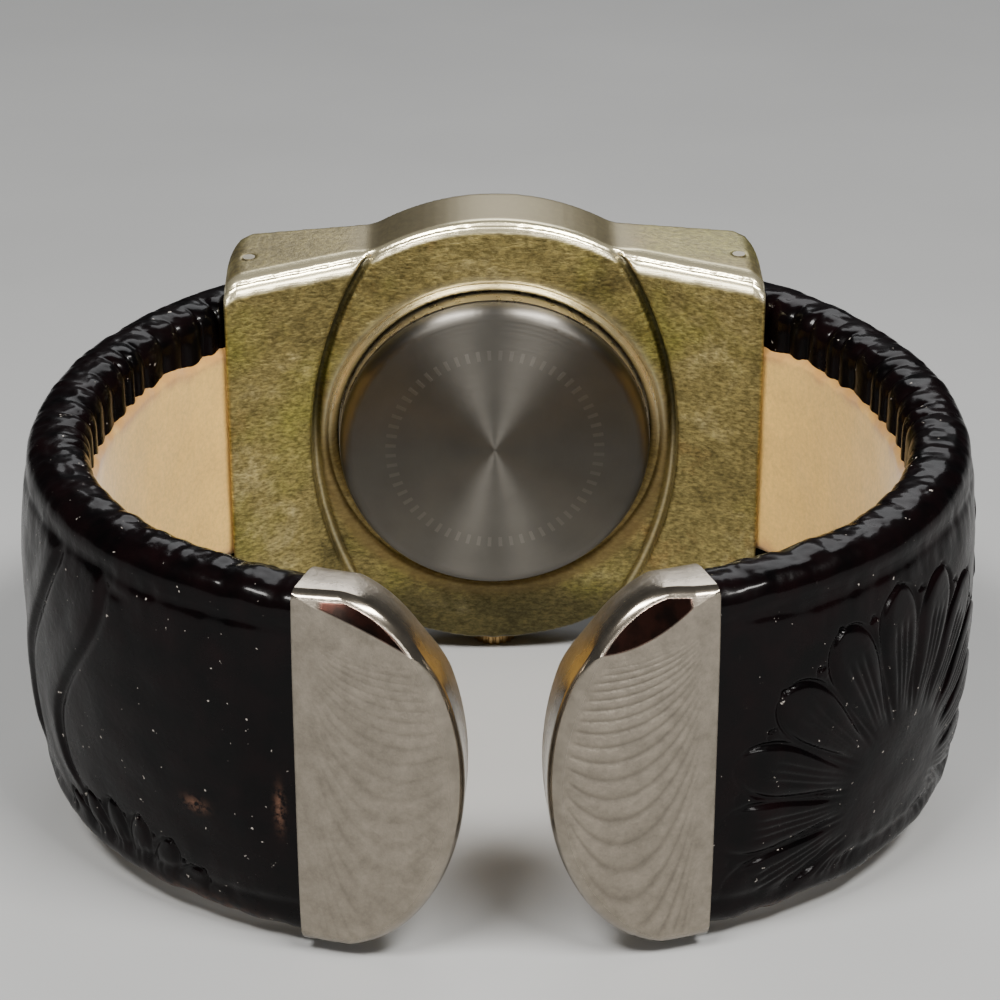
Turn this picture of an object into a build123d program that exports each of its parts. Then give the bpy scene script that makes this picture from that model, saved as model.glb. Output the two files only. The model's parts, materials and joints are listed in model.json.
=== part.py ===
from build123d import *
import math
import os

# Cuff watch: a cast metal head with a quartz watch in it, and two leather covered arms
# that open on sprung hinges in the head's ears. Millimetres, +Z up along the wrist's axis,
# the head at +Y, the gap at -Y. The origin is under the middle of the box, level with
# the end of the crown, which is the lowest point.

# Cuff plan, measured from the wrist's axis
cuff_half_width = 34.0
front_less_than_side = 4.8
front_flattening = 2.2
arm_thickness = 4.5
strap_front_height = 27.0

# Arm layers
leather_thickness = 0.8
padding_thickness = 1.6
turned_margin = 3.8
core_edge_gap = 2.3
strap_edge_radius = 1.9
hidden_edge_radius = 1.1
lining_proud = 0.15

# End caps
cap_gap = 5.5
cap_width = 11.0
cap_wall = 0.6
cap_straight = 2.4
cap_edge_bevel = 1.1
cap_inner_bevel = 0.5
strap_lap = 1.4
core_lap = 6.0

# Head casting. Every _y from here on is measured from the head's wrist side towards the dial
ear_reach = 2.4
ear_height = 30.2
ear_slope = 0.9
ear_cover = 2.3
ear_corner_radius = 1.6
bulge_wall = 3.1
bulge_blend = 3.4
head_set_in = 3.6
barrel_proud = 0.5
head_dial_y = 6.2
ear_rise = 3.4
ear_run = 11.0
barrel_half_width = 14.6
barrel_half_width_at_ear = 10.5
groove_width = 0.6
ear_end_round_x = 2.3
ear_end_round_y = 4.7

# Hinges
pin_inset = 1.8
pin_behind_face = 4.3
pin_radius = 0.5
knuckle_radius = 1.5
pocket_wall = 1.0
pocket_depth = 4.7
pocket_dial_y = 4.5
pocket_end_gap = 0.4
arm_end_gap = 0.4
spring_thickness = 0.25
spring_height = 8.0
running_gap = 0.05

# Watch case
case_back_y = -2.25
case_back_clear = 0.05
case_back_rim = 1.0
case_back_sheet = 1.0
snap_rim_length = 1.3
snap_rim_thickness = 0.55
gasket_thickness = 0.25
neck_wall = 0.9
neck_ledge = 1.35
neck_step_y = 1.65
chamber_wall = 0.6
chamber_floor = 0.5
inner_case_rim_y = 5.4
case_fit_gap = 0.1
lip_chamfer = 0.8

# Bezel and crystal
bezel_skirt_inset = 1.2
bezel_flange_inset = 0.3
bezel_flange = 0.45
bezel_height = 0.95
bezel_slope = 1.1
bezel_skirt = 1.3
bezel_cover = 0.2
bezel_lip = 0.4
crystal_thickness = 1.2
crystal_dome = 0.5
crystal_gap = 0.1
crystal_gasket_width = 0.5

# Dial and movement
dial_y = 4.1
dial_thickness = 0.35
dial_gap = 0.1
dial_hole_radius = 0.75
dial_ring_width = 1.3
marker_length = 2.4
marker_width = 0.7
marker_height = 0.2
marker_inset = 3.7
hours = 12
plate_y = 2.2
plate_radius = 12.85
holder_width = 2.05
holder_gap = 0.05
train_recess_radius = 5.1
train_recess_y = 3.35
motion_recess_radius = 3.9
motion_recess_y = 3.6
bridge_radius = 5.35
bridge_thickness = 0.4
battery_gap = 0.175
battery_thickness = 2.1
battery_seat = 0.4
battery_angle = 45.0
clip_thickness = 0.3
clip_width = 2.0
clip_leg = 0.5
clip_leg_gap = 0.3
coil_x = -8.0
coil_radius = 0.9
coil_length = 9.0
coil_core_radius = 0.35
coil_core_lap = 1.2
coil_clear = 0.15
rotor_x = -4.6
rotor_z = -5.9
rotor_radius = 0.65
rotor_gap = 0.15
stator_thickness = 0.3
stator_eye_radius = 1.6
stator_bar_width = 1.6
rotor_arbor_radius = 0.15
board_thickness = 0.35
board_inner_radius = 6.0
board_gap = 0.9
board_left_x = -2.5
board_top_z = 1.8
can_radius = 0.75
can_length = 4.5
can_x = 1.0
can_inset = 2.6
chip_size = 2.6
chip_height = 0.6
chip_x = 6.6
chip_z = -3.4

# Going train and motion work: teeth, modules and levels
centre_teeth = 48
third_teeth = 45
leaf_teeth = 6
cannon_teeth = 10
minute_wheel_teeth = 30
minute_pinion_teeth = 8
hour_teeth = 32
tooth_root_share = 0.5
tooth_tip_share = 0.22
tooth_dedendum_share = 1.25
train_module = 0.1
motion_module = 0.1
third_angle = 150.0
minute_wheel_angle = -53.13
wheel_thickness = 0.15
second_arbor_radius = 0.18
cannon_bore_radius = 0.22
cannon_radius = 0.36
hour_bore_radius = 0.41
hour_tube_radius = 0.62
third_arbor_radius = 0.12
post_radius = 0.15
second_wheel_radius = 2.1
second_wheel_y = 2.35
second_pinion_y = 2.6
third_wheel_y = 2.7
third_pinion_y = 2.95
centre_wheel_y = 3.05
cannon_pinion_y = 3.62
minute_wheel_y = 3.65
minute_pinion_y = 3.8
hour_wheel_y = 3.85
pinion_length = 0.22
leaf_length = 0.35
pivot_length = 0.15

# Hands
hour_hand_y = 4.75
minute_hand_y = 5.0
second_hand_y = 5.25
hand_thickness = 0.15
second_hand_thickness = 0.1
hour_hand_gap = 7.7
hour_hand_width = 1.3
minute_hand_gap = 4.3
minute_hand_width = 1.0
second_hand_gap = 3.1
second_hand_width = 0.3
second_hand_tail = 3.4
hand_boss_ring = 0.55
hand_taper_share = 0.8
hand_tip_width_share = 0.67
hand_tail_width_share = 0.5
hour_clock_deg = 304.0
minute_clock_deg = 48.0

# Crown and stem
stem_y = 3.15
stem_radius = 0.5
stem_inner_z = 6.4
crown_radius = 1.85
crown_proud = 1.35
crown_length = 2.1
crown_hollow_radius = 1.12
crown_hollow = 1.0
crown_flutes = 20
crown_flute_radius = 0.16
crown_recess_gap = 0.3
crown_clear = 0.15
tube_radius = 1.0
tube_gap = 0.06
tube_length = 2.75
seal_thickness = 0.35
seal_gap = 0.04

overrun = 3.0

# Values worked out from the ones above
chamber_radius = plate_radius + holder_width
inner_case_radius = chamber_radius + chamber_wall
neck_bore_radius = plate_radius - neck_ledge
neck_radius = neck_bore_radius + neck_wall
case_back_radius = neck_radius - case_back_clear
bulge_radius = inner_case_radius + bulge_wall
bezel_skirt_radius = bulge_radius - bezel_skirt_inset
bezel_flange_radius = bulge_radius - bezel_flange_inset
bezel_opening_radius = chamber_radius - bezel_cover
board_outer_radius = neck_bore_radius - board_gap
can_z = can_inset - board_outer_radius
battery_radius = (neck_bore_radius - bridge_radius - 2 * battery_gap) / 2
battery_reach = bridge_radius + battery_gap + battery_radius
head_half_width = bulge_radius + ear_reach
ear_slope_share = ear_slope / ear_run
ear_half_height = ear_height / 2
strap_head_height = ear_height - 2 * ear_cover
cuff_front_reach = cuff_half_width - front_less_than_side
side_radius = cuff_front_reach - front_flattening
axis_z = bulge_radius + crown_proud
back_radius = cuff_half_width
lining_depth = arm_thickness - leather_thickness
core_depth = leather_thickness + padding_thickness
seam_x = cap_gap / 2 + cap_width
arm_end_x = head_half_width + arm_end_gap
pin_x = head_half_width - pin_inset
head_wrist_y = math.sqrt(back_radius**2 - arm_end_x**2) - head_set_in
pin_behind_head = ear_rise * pin_inset / ear_run - ear_rise + pin_behind_face
pin_y = head_wrist_y + pin_behind_head
dial_reach = head_wrist_y + inner_case_rim_y + crystal_gap + crystal_thickness + crystal_dome
side_centre_x = cuff_half_width - side_radius
front_radius = (side_centre_x**2 + cuff_front_reach**2 - side_radius**2) / (
    2 * (cuff_front_reach - side_radius)
)
front_centre_y = front_radius - cuff_front_reach
cap_front_radius = front_radius + cap_wall
front_reach = math.sqrt(cap_front_radius**2 - (cap_gap / 2 + cap_edge_bevel) ** 2) - front_centre_y
plan_y = (front_reach - dial_reach) / 2
barrel_bow = barrel_half_width - barrel_half_width_at_ear
barrel_arc_radius = (ear_half_height**2 + barrel_bow**2) / (2 * barrel_bow)

mid = Plane(origin=(0, plan_y, axis_z))
side_on = Plane(origin=(0, plan_y, axis_z), x_dir=(0, 1, 0), z_dir=(1, 0, 0))
head_plan_y = plan_y + head_wrist_y
head_mid = Plane(origin=(0, head_plan_y, axis_z))
watch_axis = Axis((0, plan_y, axis_z), (0, 1, 0))


def facing_dial(y):
    """Plane square to the watch's axis, y behind the head's wrist side, 12 to its right."""
    return Plane(origin=(0, head_plan_y + y, axis_z), x_dir=(-1, 0, 0), z_dir=(0, 1, 0))


def level(z):
    """Plane square to the wrist's axis, z above the middle of the cuff."""
    return Plane(origin=(0, plan_y, axis_z + z))


def head_level(z):
    """Plane like level, but with its y measured from the head's wrist side."""
    return Plane(origin=(0, head_plan_y, axis_z + z))


def strap_half_height(y):
    """Half the strap's height where its plan is at y."""
    share = (y + cuff_front_reach) / (pin_y + cuff_front_reach)
    return (strap_front_height + (strap_head_height - strap_front_height) * share) / 2


def back_point(depth, x):
    """Point of the arm's back arc, depth inside the outer face, at x."""
    return (x, math.sqrt((back_radius - depth) ** 2 - x**2))


def front_point(depth, x):
    """Point of the arm's front arc, depth inside the outer face, at x."""
    return (x, front_centre_y - math.sqrt((front_radius - depth) ** 2 - x**2))


def join_point(depth):
    """Where the side arc meets the front arc."""
    reach = (front_radius - depth) / (front_radius - side_radius)
    return (side_centre_x * reach, front_centre_y - front_centre_y * reach)


def side_point(depth):
    """Widest point of the arm."""
    return (cuff_half_width - depth, 0)


def on_arc(centre, start, end):
    """Middle of the short arc from start to end about centre."""
    first = math.atan2(start[1] - centre[1], start[0] - centre[0])
    last = math.atan2(end[1] - centre[1], end[0] - centre[0])
    radius = math.hypot(start[0] - centre[0], start[1] - centre[1])
    half = (first + last) / 2
    return (centre[0] + radius * math.cos(half), centre[1] + radius * math.sin(half))


def arm_band(outer_depth, inner_depth, back_x, front_x):
    """Plan of a layer of the right arm, between two depths inside its outer face."""
    with BuildSketch(mid) as band:
        with BuildLine():
            for depth in (outer_depth, inner_depth):
                back = back_point(depth, back_x)
                side = side_point(depth)
                join = join_point(depth)
                front = front_point(depth, front_x)
                ThreePointArc(back, on_arc((0, 0), back, side), side)
                ThreePointArc(side, on_arc((side_centre_x, 0), side, join), join)
                ThreePointArc(join, on_arc((0, front_centre_y), join, front), front)
            Line(back_point(outer_depth, back_x), back_point(inner_depth, back_x))
            Line(front_point(outer_depth, front_x), front_point(inner_depth, front_x))
        make_face()
    return band.sketch


def strap_side(inset):
    """Side view of the strap, which is lower at the head, less an inset top and bottom."""
    near = -front_reach - overrun
    far = back_radius + overrun
    near_half = strap_half_height(near) - inset
    far_half = strap_half_height(far) - inset
    with BuildSketch(side_on) as view:
        with BuildLine():
            Polyline(
                (near, -near_half), (far, -far_half), (far, far_half), (near, near_half), close=True
            )
        make_face()
    return view.sketch


def arm_layer(outer_depth, inner_depth, inset, back_x, front_x, edge_radius=0):
    """Solid layer of the right arm, its long edges rounded where a radius is given."""
    with BuildPart() as layer:
        extrude(arm_band(outer_depth, inner_depth, back_x, front_x), amount=strap_front_height, both=True)
        extrude(strap_side(inset), amount=2 * cuff_half_width, both=True, mode=Mode.INTERSECT)
        if edge_radius:
            top = layer.faces().sort_by(Axis.Z)[-1]
            bottom = layer.faces().sort_by(Axis.Z)[0]
            long_edges = (top.edges() + bottom.edges()).filter_by(GeomType.LINE, reverse=True)
            fillet(long_edges, radius=edge_radius)
    return layer.part


def outline(plane, points):
    """Closed flat outline through the points."""
    with BuildSketch(plane) as shape:
        with BuildLine():
            Polyline(*points, close=True)
        make_face()
    return shape.sketch


def ring(plane, outer_radius, inner_radius):
    """Flat ring about the plane's origin."""
    with BuildSketch(plane) as shape:
        Circle(outer_radius)
        Circle(inner_radius, mode=Mode.SUBTRACT)
    return shape.sketch


def disc_at(plane, radius, x, z):
    """Flat disc at world x and z from the watch's axis, on a plane that faces the dial."""
    with BuildSketch(plane) as shape:
        with Locations((-x, z)):
            Circle(radius)
    return shape.sketch


def tooth_outline(plane, teeth, module, x=0, z=0, bore=0, turn_deg=0):
    """Toothed wheel about world x and z from the watch's axis, each tooth four points."""
    pitch = module * teeth / 2
    points = []
    for tooth in range(teeth):
        for share, radius in (
            (-tooth_root_share / 2, pitch - tooth_dedendum_share * module),
            (-tooth_tip_share / 2, pitch + module),
            (tooth_tip_share / 2, pitch + module),
            (tooth_root_share / 2, pitch - tooth_dedendum_share * module),
        ):
            angle = math.radians(turn_deg) + 2 * math.pi * (tooth + share) / teeth
            points.append((radius * math.cos(angle) - x, radius * math.sin(angle) + z))
    with BuildSketch(plane) as wheel:
        with BuildLine():
            Polyline(*points, close=True)
        make_face()
        if bore:
            with Locations((-x, z)):
                Circle(bore, mode=Mode.SUBTRACT)
    return wheel.sketch


# Arm forms that several layers share
lap_x = seam_x - strap_lap
skin_form = arm_layer(0, arm_thickness, 0, arm_end_x, lap_x, strap_edge_radius)
cavity_form = arm_layer(
    leather_thickness, lining_depth, leather_thickness, arm_end_x, lap_x, hidden_edge_radius
)
core_form = arm_layer(core_depth, lining_depth, core_edge_gap, arm_end_x, lap_x)
window_form = arm_layer(lining_depth, arm_thickness + lining_proud, turned_margin, arm_end_x, lap_x)

with BuildPart() as right_leather:
    add(skin_form)
    add(cavity_form, mode=Mode.SUBTRACT)
    add(window_form, mode=Mode.SUBTRACT)

with BuildPart() as right_padding:
    add(cavity_form)
    add(core_form, mode=Mode.SUBTRACT)

with BuildPart() as right_lining:
    add(arm_layer(lining_depth, arm_thickness + lining_proud, turned_margin, arm_end_x, lap_x))

# Core strip with its knuckle on the hinge pin and its tongue in the cap
knuckle_half = strap_half_height(pin_y) - core_edge_gap
with BuildPart() as right_core:
    add(arm_layer(core_depth, lining_depth, core_edge_gap, pin_x, seam_x - core_lap))
    with BuildSketch(level(-knuckle_half)):
        with Locations((pin_x, pin_y)):
            Circle(knuckle_radius)
    extrude(amount=2 * knuckle_half)
    with BuildSketch(level(-knuckle_half - overrun)):
        with Locations((pin_x, pin_y)):
            Circle(pin_radius + running_gap)
    extrude(amount=2 * (knuckle_half + overrun), mode=Mode.SUBTRACT)


def cap_front(inset):
    """D shape of a cap seen from the front, straight at the seam and round at the gap."""
    half = strap_front_height / 2 + cap_wall - inset
    round_x = cap_width - cap_straight - inset
    centre_x = seam_x - cap_straight
    with BuildSketch(Plane(origin=(0, plan_y, axis_z), x_dir=(1, 0, 0), z_dir=(0, -1, 0))) as face:
        with Locations((centre_x, 0)):
            Ellipse(round_x, half)
        with Locations((centre_x + cap_straight / 2, 0)):
            Rectangle(cap_straight, 2 * half)
        with Locations((seam_x + cap_width, 0)):
            Rectangle(2 * cap_width, 4 * half, mode=Mode.SUBTRACT)
    return face.sketch


with BuildPart() as right_cap:
    extrude(cap_front(0), amount=cuff_front_reach + overrun)
    extrude(
        arm_band(-cap_wall, arm_thickness + cap_wall, cuff_half_width / 2, 0),
        amount=strap_front_height,
        both=True,
        mode=Mode.INTERSECT,
    )
    outer_face = right_cap.faces().filter_by(GeomType.CYLINDER).sort_by(Axis.Y)[0]
    inner_face = right_cap.faces().filter_by(GeomType.CYLINDER).sort_by(Axis.Y)[-1]
    outer_rim = [edge for edge in outer_face.edges() if edge.center().X < seam_x - running_gap]
    inner_rim = [edge for edge in inner_face.edges() if edge.center().X < seam_x - running_gap]
    chamfer(outer_rim, length=cap_edge_bevel)
    chamfer(inner_rim, length=cap_inner_bevel)

with BuildPart() as cap_hollow:
    extrude(cap_front(cap_wall + cap_inner_bevel), amount=cuff_front_reach + overrun)
    extrude(
        arm_band(0, arm_thickness, cuff_half_width / 2, 0),
        amount=strap_front_height,
        both=True,
        mode=Mode.INTERSECT,
    )
    with BuildSketch(Plane(origin=(lap_x, plan_y, axis_z), x_dir=(0, 1, 0), z_dir=(1, 0, 0))):
        Rectangle(4 * cuff_front_reach, 2 * strap_front_height)
    extrude(amount=cap_width, mode=Mode.SUBTRACT)

with BuildPart() as right_end_cap:
    add(right_cap.part)
    add(cap_hollow.part, mode=Mode.SUBTRACT)
    add(skin_form, mode=Mode.SUBTRACT)
    add(right_lining.part, mode=Mode.SUBTRACT)

# Head casting
lens_plane_y = -ear_rise - overrun


def barrel_lens(y, inset):
    """Area between the two bowed grooves, drawn in by an inset."""
    with BuildSketch(facing_dial(y)) as lens:
        with Locations((barrel_half_width - barrel_arc_radius, 0)):
            Circle(barrel_arc_radius - inset)
        with Locations((barrel_arc_radius - barrel_half_width, 0)):
            Circle(barrel_arc_radius - inset, mode=Mode.INTERSECT)
    return lens.sketch


def head_outline(y):
    """The casting seen along the watch's axis: a round bulge between two ears that fall outwards."""
    ridge = ear_half_height + head_half_width * ear_slope_share
    with BuildSketch(facing_dial(y)) as face:
        with BuildLine():
            Polyline(
                (-head_half_width, -ear_half_height),
                (0, -ridge),
                (head_half_width, -ear_half_height),
                (head_half_width, ear_half_height),
                (0, ridge),
                (-head_half_width, ear_half_height),
                close=True,
            )
        make_face()
        Circle(bulge_radius)
        columns = face.vertices().group_by(Axis.X)
        fillet(columns[1] + columns[-2], radius=bulge_blend)
        fillet(face.vertices().group_by(Axis.X)[0], radius=ear_corner_radius)
        fillet(face.vertices().group_by(Axis.X)[-1], radius=ear_corner_radius)
    return face.sketch


ear_face_y = -ear_rise
with BuildPart() as head_case:
    extrude(head_outline(ear_face_y), amount=head_dial_y - ear_face_y)
    wrist_side = [
        (-head_half_width - overrun, ear_face_y - overrun),
        (-head_half_width - overrun, ear_face_y - ear_rise * overrun / ear_run),
        (-head_half_width + ear_run, 0),
        (head_half_width - ear_run, 0),
        (head_half_width + overrun, ear_face_y - ear_rise * overrun / ear_run),
        (head_half_width + overrun, ear_face_y - overrun),
    ]
    extrude(outline(head_mid, wrist_side), amount=bulge_radius + overrun, both=True, mode=Mode.SUBTRACT)
    extrude(barrel_lens(lens_plane_y, 0), amount=barrel_proud - lens_plane_y, mode=Mode.SUBTRACT)
    for side in (-1, 1):
        with BuildSketch(head_mid):
            with Locations((side * head_half_width, head_dial_y)):
                Rectangle(2 * ear_end_round_x, 2 * ear_end_round_y)
            with Locations((side * (head_half_width - ear_end_round_x), head_dial_y - ear_end_round_y)):
                Ellipse(ear_end_round_x, ear_end_round_y, mode=Mode.SUBTRACT)
        extrude(amount=bulge_radius, both=True, mode=Mode.SUBTRACT)
    extrude(barrel_lens(0, groove_width), amount=barrel_proud + overrun / 2)
    extrude(head_outline(lens_plane_y), amount=head_dial_y - lens_plane_y, mode=Mode.INTERSECT)

    # Hinge pockets, open at the ears' ends, with holes for the pins
    pocket_back_x = head_half_width - pocket_depth
    pocket_half = strap_half_height(pin_y) + pocket_end_gap
    for side in (-1, 1):
        pocket = [
            (side * pocket_back_x, ear_face_y + ear_rise * pocket_depth / ear_run + pocket_wall),
            (side * (head_half_width + overrun), ear_face_y - ear_rise * overrun / ear_run + pocket_wall),
            (side * (head_half_width + overrun), pocket_dial_y),
            (side * pocket_back_x, pocket_dial_y),
        ]
        extrude(outline(head_mid, pocket), amount=pocket_half, both=True, mode=Mode.SUBTRACT)
        with BuildSketch(head_mid):
            with Locations((side * pin_x, pin_behind_head)):
                Circle(pin_radius)
        extrude(amount=ear_half_height + overrun, both=True, mode=Mode.SUBTRACT)
    # Bore for the case back, counterbore for the inner case, seat for the bezel
    bore_radius = neck_radius + case_fit_gap
    case_bore_radius = inner_case_radius + case_fit_gap
    bezel_seat_y = head_dial_y - bezel_skirt
    bore_wrist_y = ear_face_y - overrun
    with BuildSketch(facing_dial(bore_wrist_y)):
        Circle(bore_radius)
    extrude(amount=head_dial_y - bore_wrist_y + overrun, mode=Mode.SUBTRACT)
    with BuildSketch(facing_dial(neck_step_y)):
        Circle(case_bore_radius)
    extrude(amount=head_dial_y - neck_step_y + overrun, mode=Mode.SUBTRACT)
    with BuildSketch(facing_dial(bezel_seat_y)):
        Circle(bezel_skirt_radius + running_gap)
    extrude(amount=bezel_skirt + overrun, mode=Mode.SUBTRACT)
    lip = [
        (bore_radius - lip_chamfer, -lip_chamfer),
        (bore_radius + 2 * lip_chamfer, -lip_chamfer),
        (bore_radius, lip_chamfer),
        (bore_radius - lip_chamfer, lip_chamfer),
    ]
    revolve(outline(head_mid, lip), axis=watch_axis, mode=Mode.SUBTRACT)
    # Recess for the crown and the hole for its tube
    crown_inner_z = axis_z - crown_length
    recess_z = crown_inner_z - crown_recess_gap
    with BuildSketch(head_level(-bulge_radius - overrun)):
        with Locations((0, stem_y)):
            Circle(crown_radius + crown_recess_gap)
    extrude(amount=bulge_radius + overrun - recess_z, mode=Mode.SUBTRACT)
    with BuildSketch(head_level(-bulge_radius - overrun)):
        with Locations((0, stem_y)):
            Circle(tube_radius)
    extrude(amount=bulge_radius + overrun - case_bore_radius + overrun, mode=Mode.SUBTRACT)

pin_half_length = ear_half_height + pin_inset * ear_slope_share
with BuildPart() as right_hinge_pin:
    with BuildSketch(level(-pin_half_length)):
        with Locations((pin_x, pin_y)):
            Circle(pin_radius)
    extrude(amount=2 * pin_half_length)

# Leaf spring bowed from the pocket's back wall onto the knuckle
leaf_reach_y = pocket_dial_y - pin_behind_head - running_gap
bow_x = pin_x - knuckle_radius - running_gap
foot_x = head_half_width - pocket_depth + running_gap
with BuildPart() as right_hinge_spring:
    with BuildSketch(mid):
        with BuildLine():
            low, high = (foot_x, pin_y - leaf_reach_y / 2), (foot_x, pin_y + leaf_reach_y / 2)
            ThreePointArc(low, (bow_x, pin_y), high)
            ThreePointArc(
                (foot_x, pin_y - leaf_reach_y / 2 + 2 * spring_thickness),
                (bow_x - spring_thickness, pin_y),
                (foot_x, pin_y + leaf_reach_y / 2 - 2 * spring_thickness),
            )
            Line(low, (foot_x, pin_y - leaf_reach_y / 2 + 2 * spring_thickness))
            Line(high, (foot_x, pin_y + leaf_reach_y / 2 - 2 * spring_thickness))
        make_face()
    extrude(amount=spring_height / 2, both=True)

# Snap case back, its gasket and the watch case that it closes
back_inner_y = case_back_y + case_back_sheet
back_edge_y = case_back_y + case_back_rim
snap_outer_radius = neck_bore_radius - running_gap
with BuildPart() as case_back:
    with BuildSketch(head_mid):
        with BuildLine():
            Line((0, case_back_y), (case_back_radius - case_back_rim, case_back_y))
            RadiusArc(
                (case_back_radius - case_back_rim, case_back_y),
                (case_back_radius, back_edge_y),
                -case_back_rim,
            )
            Polyline(
                (case_back_radius, back_edge_y),
                (case_back_radius, back_edge_y + gasket_thickness),
                (snap_outer_radius, back_edge_y + gasket_thickness),
                (snap_outer_radius, back_edge_y + snap_rim_length),
                (snap_outer_radius - snap_rim_thickness, back_edge_y + snap_rim_length),
                (snap_outer_radius - snap_rim_thickness, back_inner_y),
                (0, back_inner_y),
                (0, case_back_y),
            )
        make_face()
    revolve(axis=watch_axis)

gasket_y = back_edge_y + gasket_thickness
neck_end_y = gasket_y + gasket_thickness
with BuildPart() as case_back_gasket:
    gasket_radius = case_back_radius - gasket_thickness
    extrude(ring(facing_dial(gasket_y), gasket_radius, neck_bore_radius), amount=gasket_thickness)

stem_plane = head_level(-axis_z - overrun)
with BuildPart() as inner_case:
    wall = [
        (neck_bore_radius, neck_end_y),
        (neck_radius, neck_end_y),
        (neck_radius, neck_step_y),
        (inner_case_radius, neck_step_y),
        (inner_case_radius, inner_case_rim_y),
        (chamber_radius, inner_case_rim_y),
        (chamber_radius, neck_step_y + chamber_floor),
        (neck_bore_radius, neck_step_y + chamber_floor),
    ]
    revolve(outline(head_mid, wall), axis=watch_axis)
    with BuildSketch(stem_plane):
        with Locations((0, stem_y)):
            Circle(tube_radius)
    extrude(amount=axis_z + overrun, mode=Mode.SUBTRACT)

with BuildPart() as bezel_ring:
    skirt_inner = inner_case_radius + crystal_gasket_width + running_gap
    flange_y = head_dial_y + bezel_flange
    bezel_top_y = head_dial_y + bezel_height
    section = [
        (skirt_inner, bezel_seat_y + running_gap),
        (bezel_skirt_radius, bezel_seat_y + running_gap),
        (bezel_skirt_radius, head_dial_y),
        (bezel_flange_radius, head_dial_y),
        (bezel_flange_radius, flange_y),
        (bezel_flange_radius - bezel_slope, bezel_top_y),
        (bezel_opening_radius, bezel_top_y),
        (bezel_opening_radius, bezel_top_y - bezel_lip),
        (skirt_inner, bezel_top_y - bezel_lip),
    ]
    revolve(outline(head_mid, section), axis=watch_axis)

crystal_y = inner_case_rim_y + crystal_gap
crystal_top_y = crystal_y + crystal_thickness
crystal_dome_radius = bezel_opening_radius - crystal_gap
with BuildPart() as crystal:
    with BuildSketch(head_mid):
        with BuildLine():
            Polyline(
                (0, crystal_top_y + crystal_dome),
                (0, crystal_y),
                (inner_case_radius, crystal_y),
                (inner_case_radius, crystal_top_y),
                (crystal_dome_radius, crystal_top_y),
            )
            RadiusArc(
                (crystal_dome_radius, crystal_top_y),
                (0, crystal_top_y + crystal_dome),
                -(crystal_dome_radius**2 + crystal_dome**2) / (2 * crystal_dome),
            )
        make_face()
    revolve(axis=watch_axis)

with BuildPart() as crystal_gasket:
    extrude(
        ring(facing_dial(crystal_y), inner_case_radius + crystal_gasket_width, inner_case_radius),
        amount=crystal_thickness,
    )

# Dial, its ring and its plain batons
dial_top_y = dial_y + dial_thickness
with BuildPart() as dial:
    extrude(ring(facing_dial(dial_y), chamber_radius - dial_gap, dial_hole_radius), amount=dial_thickness)

with BuildPart() as dial_ring:
    ring_outer = chamber_radius - running_gap
    slope = [
        (ring_outer - dial_ring_width, dial_top_y),
        (ring_outer, dial_top_y),
        (ring_outer, inner_case_rim_y),
        (ring_outer - dial_ring_width / 2, inner_case_rim_y),
    ]
    revolve(outline(head_mid, slope), axis=watch_axis)

with BuildPart() as hour_markers:
    with BuildSketch(facing_dial(dial_top_y)):
        with PolarLocations(chamber_radius - marker_inset, hours):
            Rectangle(marker_length, marker_width)
    extrude(amount=marker_height)

# Movement: holder, main plate, bridge and electrics
with BuildPart() as movement_holder:
    holder_y = neck_step_y + chamber_floor
    extrude(
        ring(facing_dial(holder_y), chamber_radius - holder_gap, plate_radius + holder_gap),
        amount=dial_y - holder_y,
    )
    with BuildSketch(stem_plane):
        with Locations((0, stem_y)):
            Circle(stem_radius + holder_gap)
    extrude(amount=axis_z + overrun, mode=Mode.SUBTRACT)

third_reach = train_module * (third_teeth + leaf_teeth) / 2
third_x = -third_reach * math.cos(math.radians(third_angle))
third_z = third_reach * math.sin(math.radians(third_angle))
centre_module = 2 * third_reach / (centre_teeth + leaf_teeth)
minute_reach = motion_module * (cannon_teeth + minute_wheel_teeth) / 2
minute_x = -minute_reach * math.cos(math.radians(minute_wheel_angle))
minute_z = minute_reach * math.sin(math.radians(minute_wheel_angle))
battery_x = battery_reach * math.cos(math.radians(battery_angle))
battery_z = battery_reach * math.sin(math.radians(battery_angle))
pivot_hole = third_arbor_radius + running_gap
with BuildPart() as main_plate:
    extrude(ring(facing_dial(plate_y), plate_radius, cannon_radius + running_gap), amount=dial_y - plate_y)
    train_recess = train_recess_y - plate_y
    extrude(disc_at(facing_dial(plate_y), train_recess_radius, 0, 0), amount=train_recess, mode=Mode.SUBTRACT)
    motion_recess = disc_at(facing_dial(motion_recess_y), motion_recess_radius, 0, 0)
    extrude(motion_recess, amount=dial_y, mode=Mode.SUBTRACT)
    extrude(
        disc_at(facing_dial(plate_y), battery_radius + running_gap, battery_x, battery_z),
        amount=battery_seat,
        mode=Mode.SUBTRACT,
    )
    extrude(
        disc_at(facing_dial(plate_y), pivot_hole, third_x, third_z),
        amount=train_recess + pivot_length,
        mode=Mode.SUBTRACT,
    )
    post_length = hour_wheel_y - train_recess_y
    extrude(disc_at(facing_dial(train_recess_y), post_radius, minute_x, minute_z), amount=post_length)
    with BuildSketch(stem_plane):
        with Locations((0, stem_y)):
            Circle(stem_radius + running_gap)
    extrude(amount=axis_z + overrun - stem_inner_z + crown_clear, mode=Mode.SUBTRACT)

bridge_y = plate_y - bridge_thickness
with BuildPart() as train_bridge:
    bridge_plane = facing_dial(bridge_y)
    extrude(ring(bridge_plane, bridge_radius, second_arbor_radius + running_gap), amount=bridge_thickness)
    third_hole = disc_at(bridge_plane, pivot_hole, third_x, third_z)
    extrude(third_hole, amount=bridge_thickness, mode=Mode.SUBTRACT)

battery_y = plate_y + battery_seat - battery_thickness
with BuildPart() as battery:
    extrude(disc_at(facing_dial(battery_y), battery_radius, battery_x, battery_z), amount=battery_thickness)

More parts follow.
